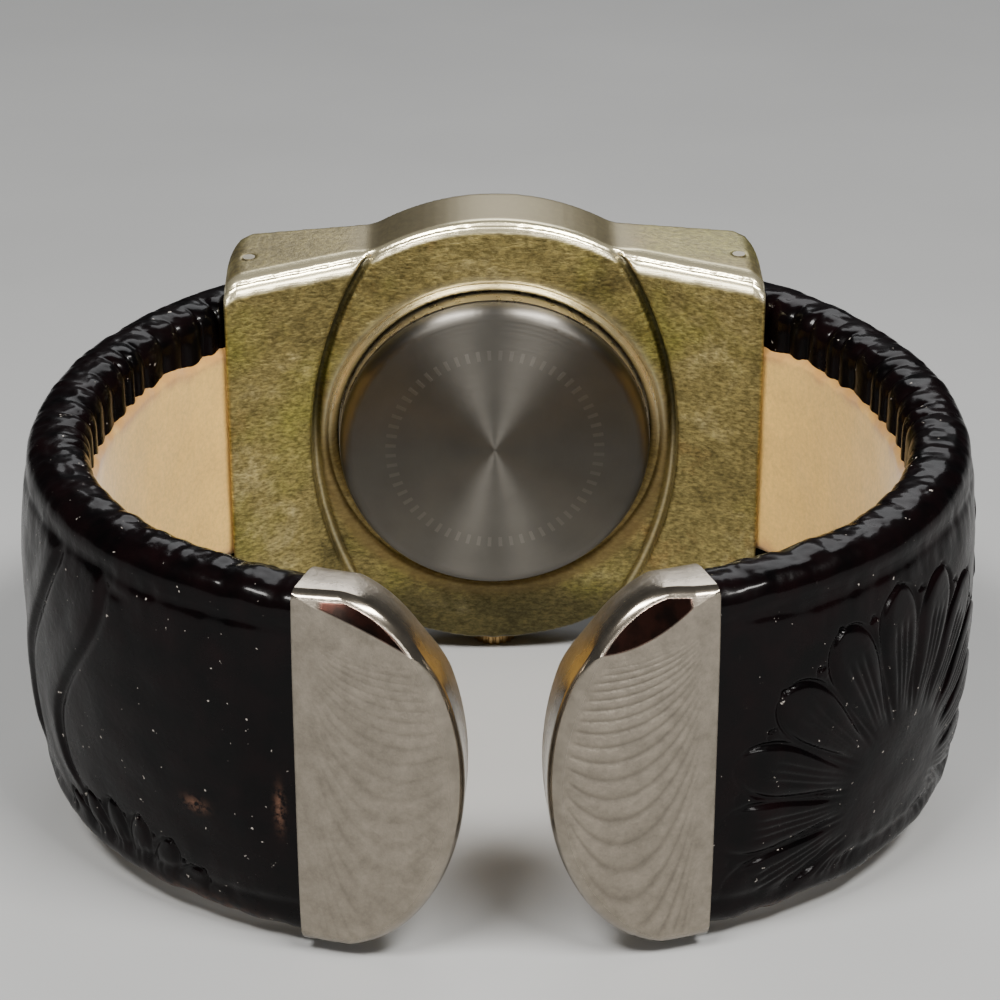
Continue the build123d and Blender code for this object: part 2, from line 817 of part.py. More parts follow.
clip_y = battery_y - clip_thickness
clip_half = battery_radius + clip_leg_gap + clip_leg
with BuildPart() as battery_clip:
    with BuildSketch(facing_dial(clip_y)):
        with Locations(Location((-battery_x, battery_z), battery_angle)):
            Rectangle(2 * clip_half, clip_width)
    extrude(amount=clip_thickness)
    with BuildSketch(facing_dial(clip_y)):
        with Locations(Location((-battery_x, battery_z), battery_angle)):
            with Locations((clip_half - clip_leg / 2, 0), (clip_leg / 2 - clip_half, 0)):
                Rectangle(clip_leg, clip_width)
    extrude(amount=plate_y - clip_y)

coil_y = plate_y - coil_clear - coil_radius
with BuildPart() as coil:
    with BuildSketch(head_level(-coil_length / 2)):
        with Locations((coil_x, coil_y)):
            Circle(coil_radius)
            Circle(coil_core_radius + running_gap / 2, mode=Mode.SUBTRACT)
    extrude(amount=coil_length)

# Stator: a bar through the coil, a foot on the plate and an eye round the rotor
stator_y = plate_y - stator_thickness
with BuildPart() as stator:
    bar_half = coil_length / 2 + coil_core_lap
    with BuildSketch(head_level(-bar_half)):
        with Locations((coil_x, coil_y)):
            Circle(coil_core_radius)
    extrude(amount=2 * bar_half)
    foot_z = -coil_length / 2 - coil_core_lap / 2 - coil_clear
    with BuildSketch(facing_dial(coil_y)):
        with Locations((-coil_x, foot_z), (-coil_x, -foot_z)):
            Rectangle(stator_bar_width, coil_core_lap - 2 * coil_clear)
    extrude(amount=plate_y - coil_y)
    with BuildSketch(facing_dial(stator_y)):
        with Locations((-(coil_x + rotor_x) / 2, foot_z)):
            Rectangle(rotor_x - coil_x, coil_core_lap - 2 * coil_clear)
        with Locations((-rotor_x, rotor_z)):
            Circle(stator_eye_radius)
            Circle(rotor_radius + rotor_gap, mode=Mode.SUBTRACT)
    extrude(amount=stator_thickness)

with BuildPart() as rotor:
    extrude(disc_at(facing_dial(stator_y), rotor_radius, rotor_x, rotor_z), amount=stator_thickness)
    rotor_end_y = stator_y - pivot_length
    extrude(disc_at(facing_dial(rotor_end_y), rotor_arbor_radius, rotor_x, rotor_z), amount=pivot_length)

board_y = plate_y - board_thickness
with BuildPart() as circuit_board:
    with BuildSketch(facing_dial(board_y)):
        Circle(board_outer_radius)
        board_width = board_outer_radius - board_left_x
        board_height = board_outer_radius + board_top_z
        with Locations((-(board_left_x + board_outer_radius) / 2, (board_top_z - board_outer_radius) / 2)):
            Rectangle(board_width, board_height, mode=Mode.INTERSECT)
        Circle(board_inner_radius, mode=Mode.SUBTRACT)
    extrude(amount=board_thickness)
    with BuildSketch(facing_dial(board_y - chip_height)):
        with Locations((-chip_x, chip_z)):
            Rectangle(chip_size, chip_size)
    extrude(amount=chip_height)

with BuildPart() as quartz_can:
    with BuildSketch(Plane(origin=(can_x, head_plan_y, axis_z), x_dir=(0, 1, 0), z_dir=(1, 0, 0))):
        with Locations((board_y - can_radius, can_z)):
            Circle(can_radius)
    extrude(amount=can_length)

# Going train
with BuildPart() as second_wheel:
    second_arbor_length = second_hand_y + second_hand_thickness - bridge_y
    extrude(disc_at(facing_dial(bridge_y), second_arbor_radius, 0, 0), amount=second_arbor_length)
    extrude(disc_at(facing_dial(second_wheel_y), second_wheel_radius, 0, 0), amount=wheel_thickness)
    extrude(tooth_outline(facing_dial(second_pinion_y), leaf_teeth, train_module), amount=leaf_length)

with BuildPart() as third_wheel:
    tooth_half = 180 / third_teeth
    extrude(
        disc_at(facing_dial(bridge_y), third_arbor_radius, third_x, third_z),
        amount=train_recess_y - bridge_y + pivot_length / 2,
    )
    third_rim = tooth_outline(
        facing_dial(third_wheel_y), third_teeth, train_module, third_x, third_z, turn_deg=tooth_half
    )
    extrude(third_rim, amount=wheel_thickness)
    third_leaves = tooth_outline(facing_dial(third_pinion_y), leaf_teeth, centre_module, third_x, third_z)
    extrude(third_leaves, amount=leaf_length)

with BuildPart() as cannon_pinion:
    cannon_length = minute_hand_y + hand_thickness - centre_wheel_y
    extrude(tooth_outline(facing_dial(centre_wheel_y), centre_teeth, centre_module), amount=wheel_thickness)
    extrude(tooth_outline(facing_dial(cannon_pinion_y), cannon_teeth, motion_module), amount=pinion_length)
    extrude(disc_at(facing_dial(centre_wheel_y), cannon_radius, 0, 0), amount=cannon_length)
    extrude(
        disc_at(facing_dial(centre_wheel_y), cannon_bore_radius + running_gap / 2, 0, 0),
        amount=cannon_length,
        mode=Mode.SUBTRACT,
    )

with BuildPart() as minute_wheel:
    bore = post_radius + running_gap
    minute_rim = tooth_outline(
        facing_dial(minute_wheel_y), minute_wheel_teeth, motion_module, minute_x, minute_z, bore
    )
    extrude(minute_rim, amount=wheel_thickness)
    minute_leaves = tooth_outline(
        facing_dial(minute_pinion_y), minute_pinion_teeth, motion_module, minute_x, minute_z, bore
    )
    extrude(minute_leaves, amount=pinion_length)

with BuildPart() as hour_wheel:
    hour_plane = facing_dial(hour_wheel_y)
    hour_tube_length = hour_hand_y + hand_thickness - hour_wheel_y
    extrude(tooth_outline(hour_plane, hour_teeth, motion_module), amount=wheel_thickness)
    extrude(disc_at(hour_plane, hour_tube_radius, 0, 0), amount=hour_tube_length)
    extrude(disc_at(hour_plane, hour_bore_radius, 0, 0), amount=hour_tube_length, mode=Mode.SUBTRACT)


def hand_outline(y, clock_deg, length, width, tail, bore):
    """A hand that tapers from its boss to its tip, turned to its place on the dial."""
    shoulder = hand_taper_share * length
    tip_half = hand_tip_width_share * width / 2
    tail_half = hand_tail_width_share * width / 2
    with BuildSketch(facing_dial(y)) as shape:
        with Locations(Location((0, 0), -clock_deg)):
            with BuildLine():
                Polyline(
                    (-tail, -tail_half),
                    (0, -width / 2),
                    (shoulder, -tip_half),
                    (length, 0),
                    (shoulder, tip_half),
                    (0, width / 2),
                    (-tail, tail_half),
                    close=True,
                )
            make_face()
        Circle(bore + hand_boss_ring)
        Circle(bore, mode=Mode.SUBTRACT)
    return shape.sketch


with BuildPart() as hour_hand:
    hour_hand_length = chamber_radius - hour_hand_gap
    hour_hand_shape = hand_outline(
        hour_hand_y, hour_clock_deg, hour_hand_length, hour_hand_width, hour_tube_radius, hour_tube_radius
    )
    extrude(hour_hand_shape, amount=hand_thickness)

with BuildPart() as minute_hand:
    minute_hand_length = chamber_radius - minute_hand_gap
    minute_tail = hour_tube_radius
    minute_hand_shape = hand_outline(
        minute_hand_y, minute_clock_deg, minute_hand_length, minute_hand_width, minute_tail, cannon_radius
    )
    extrude(minute_hand_shape, amount=hand_thickness)

with BuildPart() as second_hand:
    second_hand_length = chamber_radius - second_hand_gap
    second_hand_shape = hand_outline(
        second_hand_y, 0, second_hand_length, second_hand_width, second_hand_tail, second_arbor_radius
    )
    extrude(second_hand_shape, amount=second_hand_thickness)

# Crown, stem, tube and seal
crown_top = -crown_inner_z
with BuildPart() as crown:
    with BuildSketch(head_level(-axis_z)):
        with Locations((0, stem_y)):
            Circle(crown_radius)
        with Locations((0, stem_y)):
            with PolarLocations(crown_radius, crown_flutes):
                Circle(crown_flute_radius, mode=Mode.SUBTRACT)
    extrude(amount=crown_length)
    with BuildSketch(head_level(crown_top)):
        with Locations((0, stem_y)):
            Circle(crown_hollow_radius)
    extrude(amount=-crown_hollow, mode=Mode.SUBTRACT)

with BuildPart() as winding_stem:
    with BuildSketch(head_level(crown_top - crown_hollow)):
        with Locations((0, stem_y)):
            Circle(stem_radius)
    extrude(amount=-crown_top + crown_hollow - stem_inner_z)

with BuildPart() as crown_seal:
    with BuildSketch(head_level(crown_top - crown_hollow + seal_gap)):
        with Locations((0, stem_y)):
            Circle(crown_hollow_radius - seal_gap)
            Circle(stem_radius + seal_gap, mode=Mode.SUBTRACT)
    extrude(amount=seal_thickness)

with BuildPart() as crown_tube:
    with BuildSketch(head_level(-chamber_radius)):
        with Locations((0, stem_y)):
            Circle(tube_radius)
            Circle(stem_radius + tube_gap, mode=Mode.SUBTRACT)
    extrude(amount=-tube_length)

pieces = {
    "head_case": head_case,
    "inner_case": inner_case,
    "case_back": case_back,
    "case_back_gasket": case_back_gasket,
    "bezel_ring": bezel_ring,
    "crystal": crystal,
    "crystal_gasket": crystal_gasket,
    "dial": dial,
    "dial_ring": dial_ring,
    "hour_markers": hour_markers,
    "movement_holder": movement_holder,
    "main_plate": main_plate,
    "train_bridge": train_bridge,
    "battery": battery,
    "battery_clip": battery_clip,
    "coil": coil,
    "stator": stator,
    "rotor": rotor,
    "circuit_board": circuit_board,
    "quartz_can": quartz_can,
    "second_wheel": second_wheel,
    "third_wheel": third_wheel,
    "cannon_pinion": cannon_pinion,
    "minute_wheel": minute_wheel,
    "hour_wheel": hour_wheel,
    "hour_hand": hour_hand,
    "minute_hand": minute_hand,
    "second_hand": second_hand,
    "crown": crown,
    "winding_stem": winding_stem,
    "crown_seal": crown_seal,
    "crown_tube": crown_tube,
    "right_core": right_core,
    "right_padding": right_padding,
    "right_leather": right_leather,
    "right_lining": right_lining,
    "right_end_cap": right_end_cap,
    "right_hinge_pin": right_hinge_pin,
    "right_hinge_spring": right_hinge_spring,
}

os.makedirs("parts", exist_ok=True)
for name, piece in pieces.items():
    piece.part.label = name
    export_step(piece.part, f"parts/{name}.step")
    if name.startswith("right_"):
        left_name = name.replace("right_", "left_")
        with BuildPart() as left_piece:
            mirror(piece.part, about=Plane.YZ)
        left_piece.part.label = left_name
        export_step(left_piece.part, f"parts/{left_name}.step")
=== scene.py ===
import json
import math

import bpy
import numpy as np
from mathutils import Matrix, Vector


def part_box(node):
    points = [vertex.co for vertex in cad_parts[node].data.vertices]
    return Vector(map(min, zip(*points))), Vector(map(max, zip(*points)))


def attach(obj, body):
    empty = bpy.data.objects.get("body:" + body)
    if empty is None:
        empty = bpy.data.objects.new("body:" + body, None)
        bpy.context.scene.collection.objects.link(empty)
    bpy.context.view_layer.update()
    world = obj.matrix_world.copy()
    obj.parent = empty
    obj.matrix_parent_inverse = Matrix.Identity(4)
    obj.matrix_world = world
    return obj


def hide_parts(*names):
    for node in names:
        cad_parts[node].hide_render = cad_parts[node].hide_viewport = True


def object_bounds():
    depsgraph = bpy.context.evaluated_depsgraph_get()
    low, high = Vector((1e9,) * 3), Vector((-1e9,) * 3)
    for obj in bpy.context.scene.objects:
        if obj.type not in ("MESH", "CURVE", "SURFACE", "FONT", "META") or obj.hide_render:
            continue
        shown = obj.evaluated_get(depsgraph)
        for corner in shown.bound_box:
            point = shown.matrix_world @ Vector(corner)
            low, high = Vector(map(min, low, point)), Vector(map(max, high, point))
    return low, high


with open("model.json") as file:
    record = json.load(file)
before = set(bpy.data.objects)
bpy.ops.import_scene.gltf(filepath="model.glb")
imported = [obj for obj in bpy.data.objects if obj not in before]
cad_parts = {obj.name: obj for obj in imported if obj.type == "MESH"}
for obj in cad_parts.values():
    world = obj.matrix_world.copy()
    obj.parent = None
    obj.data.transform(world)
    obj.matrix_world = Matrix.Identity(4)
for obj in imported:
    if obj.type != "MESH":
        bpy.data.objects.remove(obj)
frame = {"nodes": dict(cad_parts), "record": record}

bl_info = {
    "name": "Leather Cuff Watch",
    "version": (1, 0, 0),
    "blender": (4, 5, 0),
    "location": "3D View > Sidebar > Cuff Watch",
    "description": "Dresses the packed cuff watch: tooled leather arms, suede, cast head, caps and dial",
    "category": "Object",
}

CAD_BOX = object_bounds()
MM = 0.001
WRIST = np.array(next(m["pos_m"] for m in frame["record"]["mounts"] if m["name"] == "wrist"))

# Cuff plan in millimetres from the wrist's axis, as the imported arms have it
HALF_WIDTH = 34.0
FRONT_REACH = 29.2
SIDE_RADIUS = 27.0
ARM_THICKNESS = 4.5
STRAP_FRONT_HALF = 13.5
STRAP_HEAD_HALF = 12.8
PIN_Y = 24.28
ARM_END_X = 21.4
SEAM_X = 13.75
LAP = 1.4
SIDE_X = HALF_WIDTH - SIDE_RADIUS
FRONT_RADIUS = (SIDE_X**2 + FRONT_REACH**2 - SIDE_RADIUS**2) / (2 * (FRONT_REACH - SIDE_RADIUS))
FRONT_Y = FRONT_RADIUS - FRONT_REACH
JOIN_ANGLE = math.atan2(FRONT_Y, SIDE_X)
BACK_ANGLE = math.acos(ARM_END_X / HALF_WIDTH)
END_ANGLE = math.acos((SEAM_X - LAP) / FRONT_RADIUS)
BACK_LENGTH = HALF_WIDTH * BACK_ANGLE
SIDE_LENGTH = SIDE_RADIUS * JOIN_ANGLE
FRONT_LENGTH = FRONT_RADIUS * (END_ANGLE - JOIN_ANGLE)
ARM_LENGTH = BACK_LENGTH + SIDE_LENGTH + FRONT_LENGTH
CAP_WIDTH = 11.0
CAP_HALF = 13.85
CAP_LIFT = 0.3
CAP_STRAIGHT = 2.4
CAP_WALL = 0.6

# Leather and lining
EDGE_ROLL = 2.1
HINGE_CLEARANCE = 0.12
LEATHER_ROWS = 560
LINING_MARGIN = 3.75
LINING_PROUD = 0.34
LINING_SUNK = 0.35

# Pressed flowers: middle (along, up), petals, radius of the disc, reach and turn
FRONT_FLOWER = ((50.2, -6.2), 17, 5.6, 15.6, 0.06)
BACK_FLOWER = ((22.0, 2.0), 15, 4.5, 11.5, 0.4)
LOWER_FAN = ((51.0, -19.0), 24, 4.6, 11.6, 0.1)
LEFT_BACK_FLOWER = ((20.0, -2.0), 15, 4.8, 12.0, 0.9)

# Worn spots: middle along and up, and reach along and up
WORN_SPOTS = {
    "left": ((57.5, -13.2, 4.2, 0.8), (58.4, -4.2, 0.8, 0.5), (64.7, -3.0, 0.3, 1.4), (44, -13.2, 2.5, 0.5)),
    "right": ((60, -13.2, 3.0, 0.5), (40, -13.2, 4.0, 0.5)),
}

# Head casting and back
HEAD_WRIST_Y = 22.82
BORE_RADIUS = 12.9
LIP = 1.0
EAR_BROW = 1.7
BULGE_BROW = 1.0
BULGE_HALF = 14.6
BULGE_ARC = 29.86
COLUMN_STEP = 0.4
UNKNOWN = 99.0
VOXEL = 0.17
TICKS = 60
TICK_SHARE = 0.17
TICK_REACH = 8.3
TICK_HALF = 0.42

# Dial
NUMERAL_SIZE = 2.7
NUMERAL_REACH = 8.2
INK_RISE = 0.03
INK_THICKNESS = 0.02

# Camera, fitted to edges of the photograph
CAMERA_ELEVATION = 27.795
CAMERA_TURN = 0.95
CAMERA_ROLL = 0.01
CAMERA_FRONT = 213.99
CAMERA_HEIGHT = 119.16
CAMERA_SIDE = 0.07
FOCAL_PIXELS = 3309.4
PHOTO_PIXELS = 1000
SENSOR = 36.0

# Floor, and lights as name, place, size, power and colour
FLOOR_HALF = 3.0
FLOOR_GAP = 0.03
CAP_FOOT = 1.2
SKY_COLOUR = (0.80, 0.82, 0.85, 1)
SKY_STRENGTH = 0.06
LIGHTS = (
    ("key_left", (-0.16, -0.20, 0.42), (0.20, 0.07), 3.0, (1.0, 0.98, 0.95)),
    ("key_right", (0.18, -0.19, 0.42), (0.24, 0.07), 3.8, (1.0, 0.98, 0.95)),
    ("back", (0.05, 0.40, 0.36), (0.26, 0.26), 0.9, (0.97, 0.98, 1.0)),
    ("front_left", (-0.19, -0.50, 0.24), (0.15, 0.08), 0.6, (1.0, 0.99, 0.97)),
    ("front_right", (0.24, -0.50, 0.24), (0.18, 0.10), 0.95, (1.0, 0.99, 0.97)),
)


class LeatherSettings(bpy.types.PropertyGroup):
    """Sizes and colour of the tooled leather and its lining."""

    bulge: bpy.props.FloatProperty(
        name="Bulge",
        description="How far the padded face swells, in millimetres",
        default=0.85, min=0, max=2,
    )
    tooling: bpy.props.FloatProperty(
        name="Tooling depth", description="Scale of the tooled relief", default=1.0, min=0, max=3
    )
    pleat: bpy.props.FloatProperty(
        name="Pleat depth",
        description="Depth of the folds inside the edge, in millimetres",
        default=0.42, min=0, max=1,
    )
    colour: bpy.props.FloatVectorProperty(
        name="Leather", description="Colour of the leather",
        subtype="COLOR", size=3, default=(0.0008, 0.0006, 0.0007),
    )
    lining: bpy.props.FloatVectorProperty(
        name="Lining", description="Colour of the suede",
        subtype="COLOR", size=3, default=(0.66, 0.40, 0.075),
    )


class MetalSettings(bpy.types.PropertyGroup):
    """Finish of the casting, the caps and the back."""

    cast_grain: bpy.props.FloatProperty(
        name="Cast grain",
        description="Depth of the casting's grain, in millimetres",
        default=0.07, min=0, max=0.5,
    )
    ridge: bpy.props.FloatProperty(
        name="Cap ridge",
        description="Depth of the caps' curved ridges, in millimetres",
        default=0.07, min=0, max=0.4,
    )
    casting: bpy.props.FloatVectorProperty(
        name="Casting", description="Colour of the tarnished casting",
        subtype="COLOR", size=3, default=(0.245, 0.203, 0.079),
    )
    nickel: bpy.props.FloatVectorProperty(
        name="Nickel", description="Colour of the plated caps",
        subtype="COLOR", size=3, default=(0.305, 0.267, 0.215),
    )
    steel: bpy.props.FloatVectorProperty(
        name="Steel", description="Colour of the turned back",
        subtype="COLOR", size=3, default=(0.125, 0.117, 0.103),
    )


def place(points):
    """Millimetres from the wrist's axis to metres in the row frame."""
    return np.asarray(points) * MM + WRIST


def make_piece(name, points, faces, body, material, hidden):
    """A new mesh piece, smooth shaded, that rides on a body and stands for a CAD node."""
    mesh = bpy.data.meshes.new(name)
    mesh.from_pydata(place(points).tolist(), [], faces)
    mesh.validate()
    mesh.polygons.foreach_set("use_smooth", [True] * len(mesh.polygons))
    piece = bpy.data.objects.new(name, mesh)
    bpy.context.scene.collection.objects.link(piece)
    mesh.materials.append(material)
    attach(piece, body)
    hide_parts(hidden)
    return piece


def grid_faces(rows, cols, wrap_cols=False, start=0, flip=False):
    """Quads over a grid of points stored row by row."""
    faces = []
    for row in range(rows - 1):
        below = row + 1
        for col in range(cols if wrap_cols else cols - 1):
            right = (col + 1) % cols
            quad = (row * cols + col, row * cols + right, below * cols + right, below * cols + col)
            quad = tuple(start + corner for corner in quad)
            faces.append(quad[::-1] if flip else quad)
    return faces


def grid_ring(rows, cols):
    """Points round the rim of a grid, in order."""
    ring = list(range(cols))
    ring += [row * cols + cols - 1 for row in range(1, rows)]
    ring += [(rows - 1) * cols + col for col in range(cols - 2, -1, -1)]
    return ring + [row * cols for row in range(rows - 2, 0, -1)]


def closed_sheets(rows, cols, flip):
    """Faces of two grids stored one after the other, with a wall round their rims."""
    count = rows * cols
    faces = grid_faces(rows, cols, flip=flip) + grid_faces(rows, cols, start=count, flip=not flip)
    ring = grid_ring(rows, cols)
    for here, there in zip(ring, ring[1:] + ring[:1]):
        quad = (here, there, there + count, here + count)
        faces.append(quad if flip else quad[::-1])
    return faces


def smooth_step(low, high, value):
    """0 below low, 1 above high, smooth between."""
    share = np.clip((value - low) / (high - low), 0, 1)
    return share * share * (3 - 2 * share)


def soft_noise(across, along, cell, seed):
    """Smooth random field from -1 to 1, with one free value per cell."""
    table = np.random.default_rng(seed).uniform(-1, 1, (64, 64))
    x, y = np.asarray(across) / cell + 7.3, np.asarray(along) / cell + 5.1
    column, row = np.floor(x).astype(int), np.floor(y).astype(int)
    u, v = x - column, y - row
    u, v = u * u * (3 - 2 * u), v * v * (3 - 2 * v)

    def pick(i, j):
        return table[(row + j) % 64, (column + i) % 64]

    low = pick(0, 0) * (1 - u) + pick(1, 0) * u
    high = pick(0, 1) * (1 - u) + pick(1, 1) * u
    return low * (1 - v) + high * v


def arm_plan(along):
    """Point and outward direction on the right arm's outer outline, along it from the ear."""
    along = np.asarray(along, dtype=float)
    back = along < BACK_LENGTH
    side = (~back) & (along < BACK_LENGTH + SIDE_LENGTH)
    angle = np.where(
        back,
        BACK_ANGLE - along / HALF_WIDTH,
        np.where(
            side,
            -(along - BACK_LENGTH) / SIDE_RADIUS,
            -JOIN_ANGLE - (along - BACK_LENGTH - SIDE_LENGTH) / FRONT_RADIUS,
        ),
    )
    radius = np.where(back, HALF_WIDTH, np.where(side, SIDE_RADIUS, FRONT_RADIUS))
    centre_x = np.where(side, SIDE_X, 0)
    centre_y = np.where(back | side, 0, FRONT_Y)
    outward = np.stack([np.cos(angle), np.sin(angle)], axis=-1)
    point = np.stack([centre_x + radius * outward[..., 0], centre_y + radius * outward[..., 1]], axis=-1)
    return point, outward


def strap_half(y):
    """Half the strap's height where its plan is at y."""
    return STRAP_FRONT_HALF + (STRAP_HEAD_HALF - STRAP_FRONT_HALF) * (y + FRONT_REACH) / (PIN_Y + FRONT_REACH)


def groove(distance, width):
    """A pressed line: 1 on the line, fading to 0 over about its width."""
    return np.exp(-((distance / width) ** 2))


def petals(along, up, centre, count, inner, outer, turn, fullness=0.47):
    """Distance in millimetres inside the nearest petal of a ring, and where across it the point is."""
    x, y = along - centre[0], up - centre[1]
    radius = np.hypot(x, y) + 1e-6
    turns = (np.arctan2(y, x) - turn) * count / (2 * np.pi)
    across = turns - np.round(turns)
    pitch = 2 * np.pi * radius / count
    reach = np.clip((radius - inner) / (outer - inner), -1, 2)
    swell = fullness * np.sqrt(np.clip(1 - np.clip((reach - 0.62) / 0.38, 0, 1) ** 2, 0, 1))
    swell = swell * (0.72 + 0.28 * smooth_step(0, 0.6, reach))
    inside = (swell - np.abs(across)) * pitch
    inside = np.where(reach > 1, -np.hypot(radius - outer, across * pitch), inside)
    inside = np.where(reach < 0, np.minimum(inside, radius - inner), inside)
    return inside, across * pitch, radius


def flower_relief(along, up, centre, count, disc, reach, turn):
    """Pressed flower: grooved petals that fade into a smooth middle, and a lower ring between them."""
    height = np.zeros_like(along)
    middle = smooth_step(disc - 0.8, disc + 2.6, np.hypot(along - centre[0], up - centre[1]))
    for offset, length, lift in ((0.5, reach * 0.93, 0.03), (0.0, reach, 0.14)):
        start = turn + offset * 2 * np.pi / count
        inside, across, radius = petals(along, up, centre, count, disc - 1.5, length, start)
        pillow = lift * smooth_step(0.0, 1.0, inside)
        veins = sum(groove(across - spot * radius / reach, 0.17) for spot in (-0.85, 0.0, 0.85))
        veins = veins * (1 - smooth_step(reach * 0.74, reach * 0.86, radius))
        shape = pillow - 0.24 * groove(inside, 0.24) - 0.12 * veins * (inside > 0)
        height = np.where(inside > -0.5, shape, height)
    return height * middle


def right_tooling(along, up):
    """Large flower over most of the right arm's face, its disc low on the side."""
    return flower_relief(along, up, *FRONT_FLOWER) + flower_relief(along, up, *BACK_FLOWER)


def curve_gap(along, up, spots):
    """Distance along the arm from a smooth curve through (up, along) spots."""
    heights, places = zip(*sorted(spots))
    fit = np.polyfit(heights, places, 3)
    return along - np.polyval(fit, up)


def left_tooling(along, up):
    """Long scrolls at the side and a fan of petals rising from the lower edge."""
    first = curve_gap(along, up, ((10.0, 49.8), (5.8, 49.0), (0.8, 45.6), (-2.8, 43.9), (-7.8, 45.2)))
    second = curve_gap(along, up, ((11.0, 44.6), (8.4, 43.8), (2.8, 40.0), (-3.0, 37.6), (-9.0, 38.4)))
    relief = 0.20 * smooth_step(-3.4, -0.2, first) * (1 - smooth_step(-0.2, 0.5, first))
    relief += 0.24 * smooth_step(-3.0, -0.2, second) * (1 - smooth_step(-0.2, 0.6, second))
    relief -= 0.15 * groove(first - 0.5, 0.45) + 0.15 * groove(second - 0.5, 0.5)
    relief = relief * smooth_step(-9.5, -7.0, up) * (1 - smooth_step(9.5, 11.0, up))
    relief = relief + flower_relief(along, up, *LOWER_FAN)
    dent = groove(np.hypot((along - 51.5) / 2.4, up - 9.6), 0.5)
    return relief - 0.14 * dent + flower_relief(along, up, *LEFT_BACK_FLOWER)


def pleat_folds(along, seed):
    """Gathered folds: sharp creases with round ridges between, strongest near the ear."""
    warp = along + 0.9 * soft_noise(along, along * 0, 4.0, seed)
    phase = warp / 2.35
    fold = np.abs(np.sin(np.pi * phase)) ** 0.6
    strength = 1 - 0.72 * smooth_step(28, 40, along)
    return (fold - 0.75) * strength * (0.75 + 0.25 * soft_noise(along, along * 0, 5.0, seed + 1))


def leather_section():
    """Round the strap's section once: kind 0 outer face, 1 upper roll, 2 inner face, 3 lower roll."""
    outer = np.linspace(-1, 1, 190)
    roll = np.linspace(0, np.pi, 30)[1:-1]
    inner = np.linspace(1, -1, 110)
    parts = (outer, roll, inner, roll)
    kinds = np.concatenate([np.full(len(part), kind) for kind, part in enumerate(parts)])
    return kinds, np.concatenate(parts)


def leather_surface(settings, tooling, seed):
    """Points of a padded leather arm, with its tooling, rolled edges and pleats, and where each lies along
    and up it and its kind.
    """
    along = np.linspace(0, ARM_LENGTH, LEATHER_ROWS)
    kinds, places = leather_section()
    s, kind = np.meshgrid(along, kinds, indexing="ij")
    spot = np.broadcast_to(places, s.shape)
    point, outward = arm_plan(along)
    half = strap_half(point[:, 1])[:, None]
    flat = half - EDGE_ROLL
    middle = ARM_THICKNESS / 2
    bow = np.clip(np.sin(spot), 0, 1) ** 0.72
    lean = np.sign(np.cos(spot)) * np.abs(np.cos(spot)) ** 0.8
    up = np.select(
        [kind == 0, kind == 1, kind == 2],
        [spot * flat, flat + EDGE_ROLL * bow, spot * flat],
        -flat - EDGE_ROLL * bow,
    )
    depth = np.select(
        [kind == 0, kind == 1, kind == 2],
        [0 * s, middle - middle * lean, 0 * s + ARM_THICKNESS],
        middle + middle * lean,
    )
    face = (kind == 0) * (1 - np.clip(np.abs(up) / flat, 0, 1) ** 2.6)
    near_cap = smooth_step(0.2, 4.5, ARM_LENGTH - LAP - s)
    near_ear = smooth_step(0.0, 2.5, s)
    swell = settings.bulge * face * (0.35 + 0.65 * near_cap) * (0.5 + 0.5 * near_ear)
    edge_fade = smooth_step(0.0, 1.6, flat - np.abs(up) + 0.9) * (kind == 0)
    relief = settings.tooling * tooling(s, up) * edge_fade * near_cap
    rumple = 0.10 * soft_noise(s, up, 6.0, seed) + 0.045 * soft_noise(s, up, 2.1, seed + 3)
    near_edge = smooth_step(4.2, 0.6, flat - np.abs(up)) * (kind == 0)
    rumple = rumple + 0.05 * near_edge * soft_noise(s, up * 0.5, 0.8, seed + 4)
    line_place = flat - np.abs(up) - 0.5 + 0.25 * soft_noise(s, up * 0, 5, seed + 8)
    edge_line = -0.10 * groove(line_place, 0.45) * (kind == 0)
    inward = smooth_step(middle * 0.9, ARM_THICKNESS * 0.9, depth)
    margin = smooth_step(-6.4, -3.4, np.abs(up) - half)
    fold = settings.pleat * pleat_folds(s, seed + 5) * inward * np.where(kind == 2, margin, 1.0)
    crinkle = 0.16 * soft_noise(s, kind * 3.0, 1.9, seed + 9)
    crinkle = crinkle + 0.07 * soft_noise(s, depth * 1.3, 0.75, seed + 12)
    top_fold = crinkle * np.isin(kind, (1, 3)) * np.sin(spot)
    push = swell + relief + rumple * near_cap + edge_line
    turned = np.cos(spot) * np.where(kind == 3, -1, 1)
    normal_out = np.select([kind == 0, kind == 2], [0 * s + 1, 0 * s - 1], turned)
    normal_up = np.select([kind == 1, kind == 3], [np.sin(spot), -np.sin(spot)], 0 * s)
    by_hinge = smooth_step(0.5, 4.5, s)
    outer_push = (push * (kind == 0) + (fold + top_fold) * (kind != 0)) * by_hinge
    outer_push = outer_push - HINGE_CLEARANCE * (1 - by_hinge)
    reach = -depth + normal_out * outer_push
    up = up + normal_up * outer_push
    x = point[:, 0][:, None] + outward[:, 0][:, None] * reach
    y = point[:, 1][:, None] + outward[:, 1][:, None] * reach
    return np.stack([x, y, up], axis=-1), s, up, kind


def capped_tube_faces(rows, cols, flip):
    """Closed loops joined row to row, with a fan of quads closing each end."""
    faces = grid_faces(rows, cols, wrap_cols=True, flip=flip)
    first = tuple(range(cols))
    last = tuple((rows - 1) * cols + col for col in range(cols))
    faces.append(first if flip else first[::-1])
    faces.append(last[::-1] if flip else last)
    return faces


def add_mask(piece, name, values):
    """A value from 0 to 1 on each point, for a material to read."""
    layer = piece.data.attributes.new(name, "FLOAT", "POINT")
    layer.data.foreach_set("value", np.clip(values, 0, 1).ravel().astype(np.float32))


# Materials

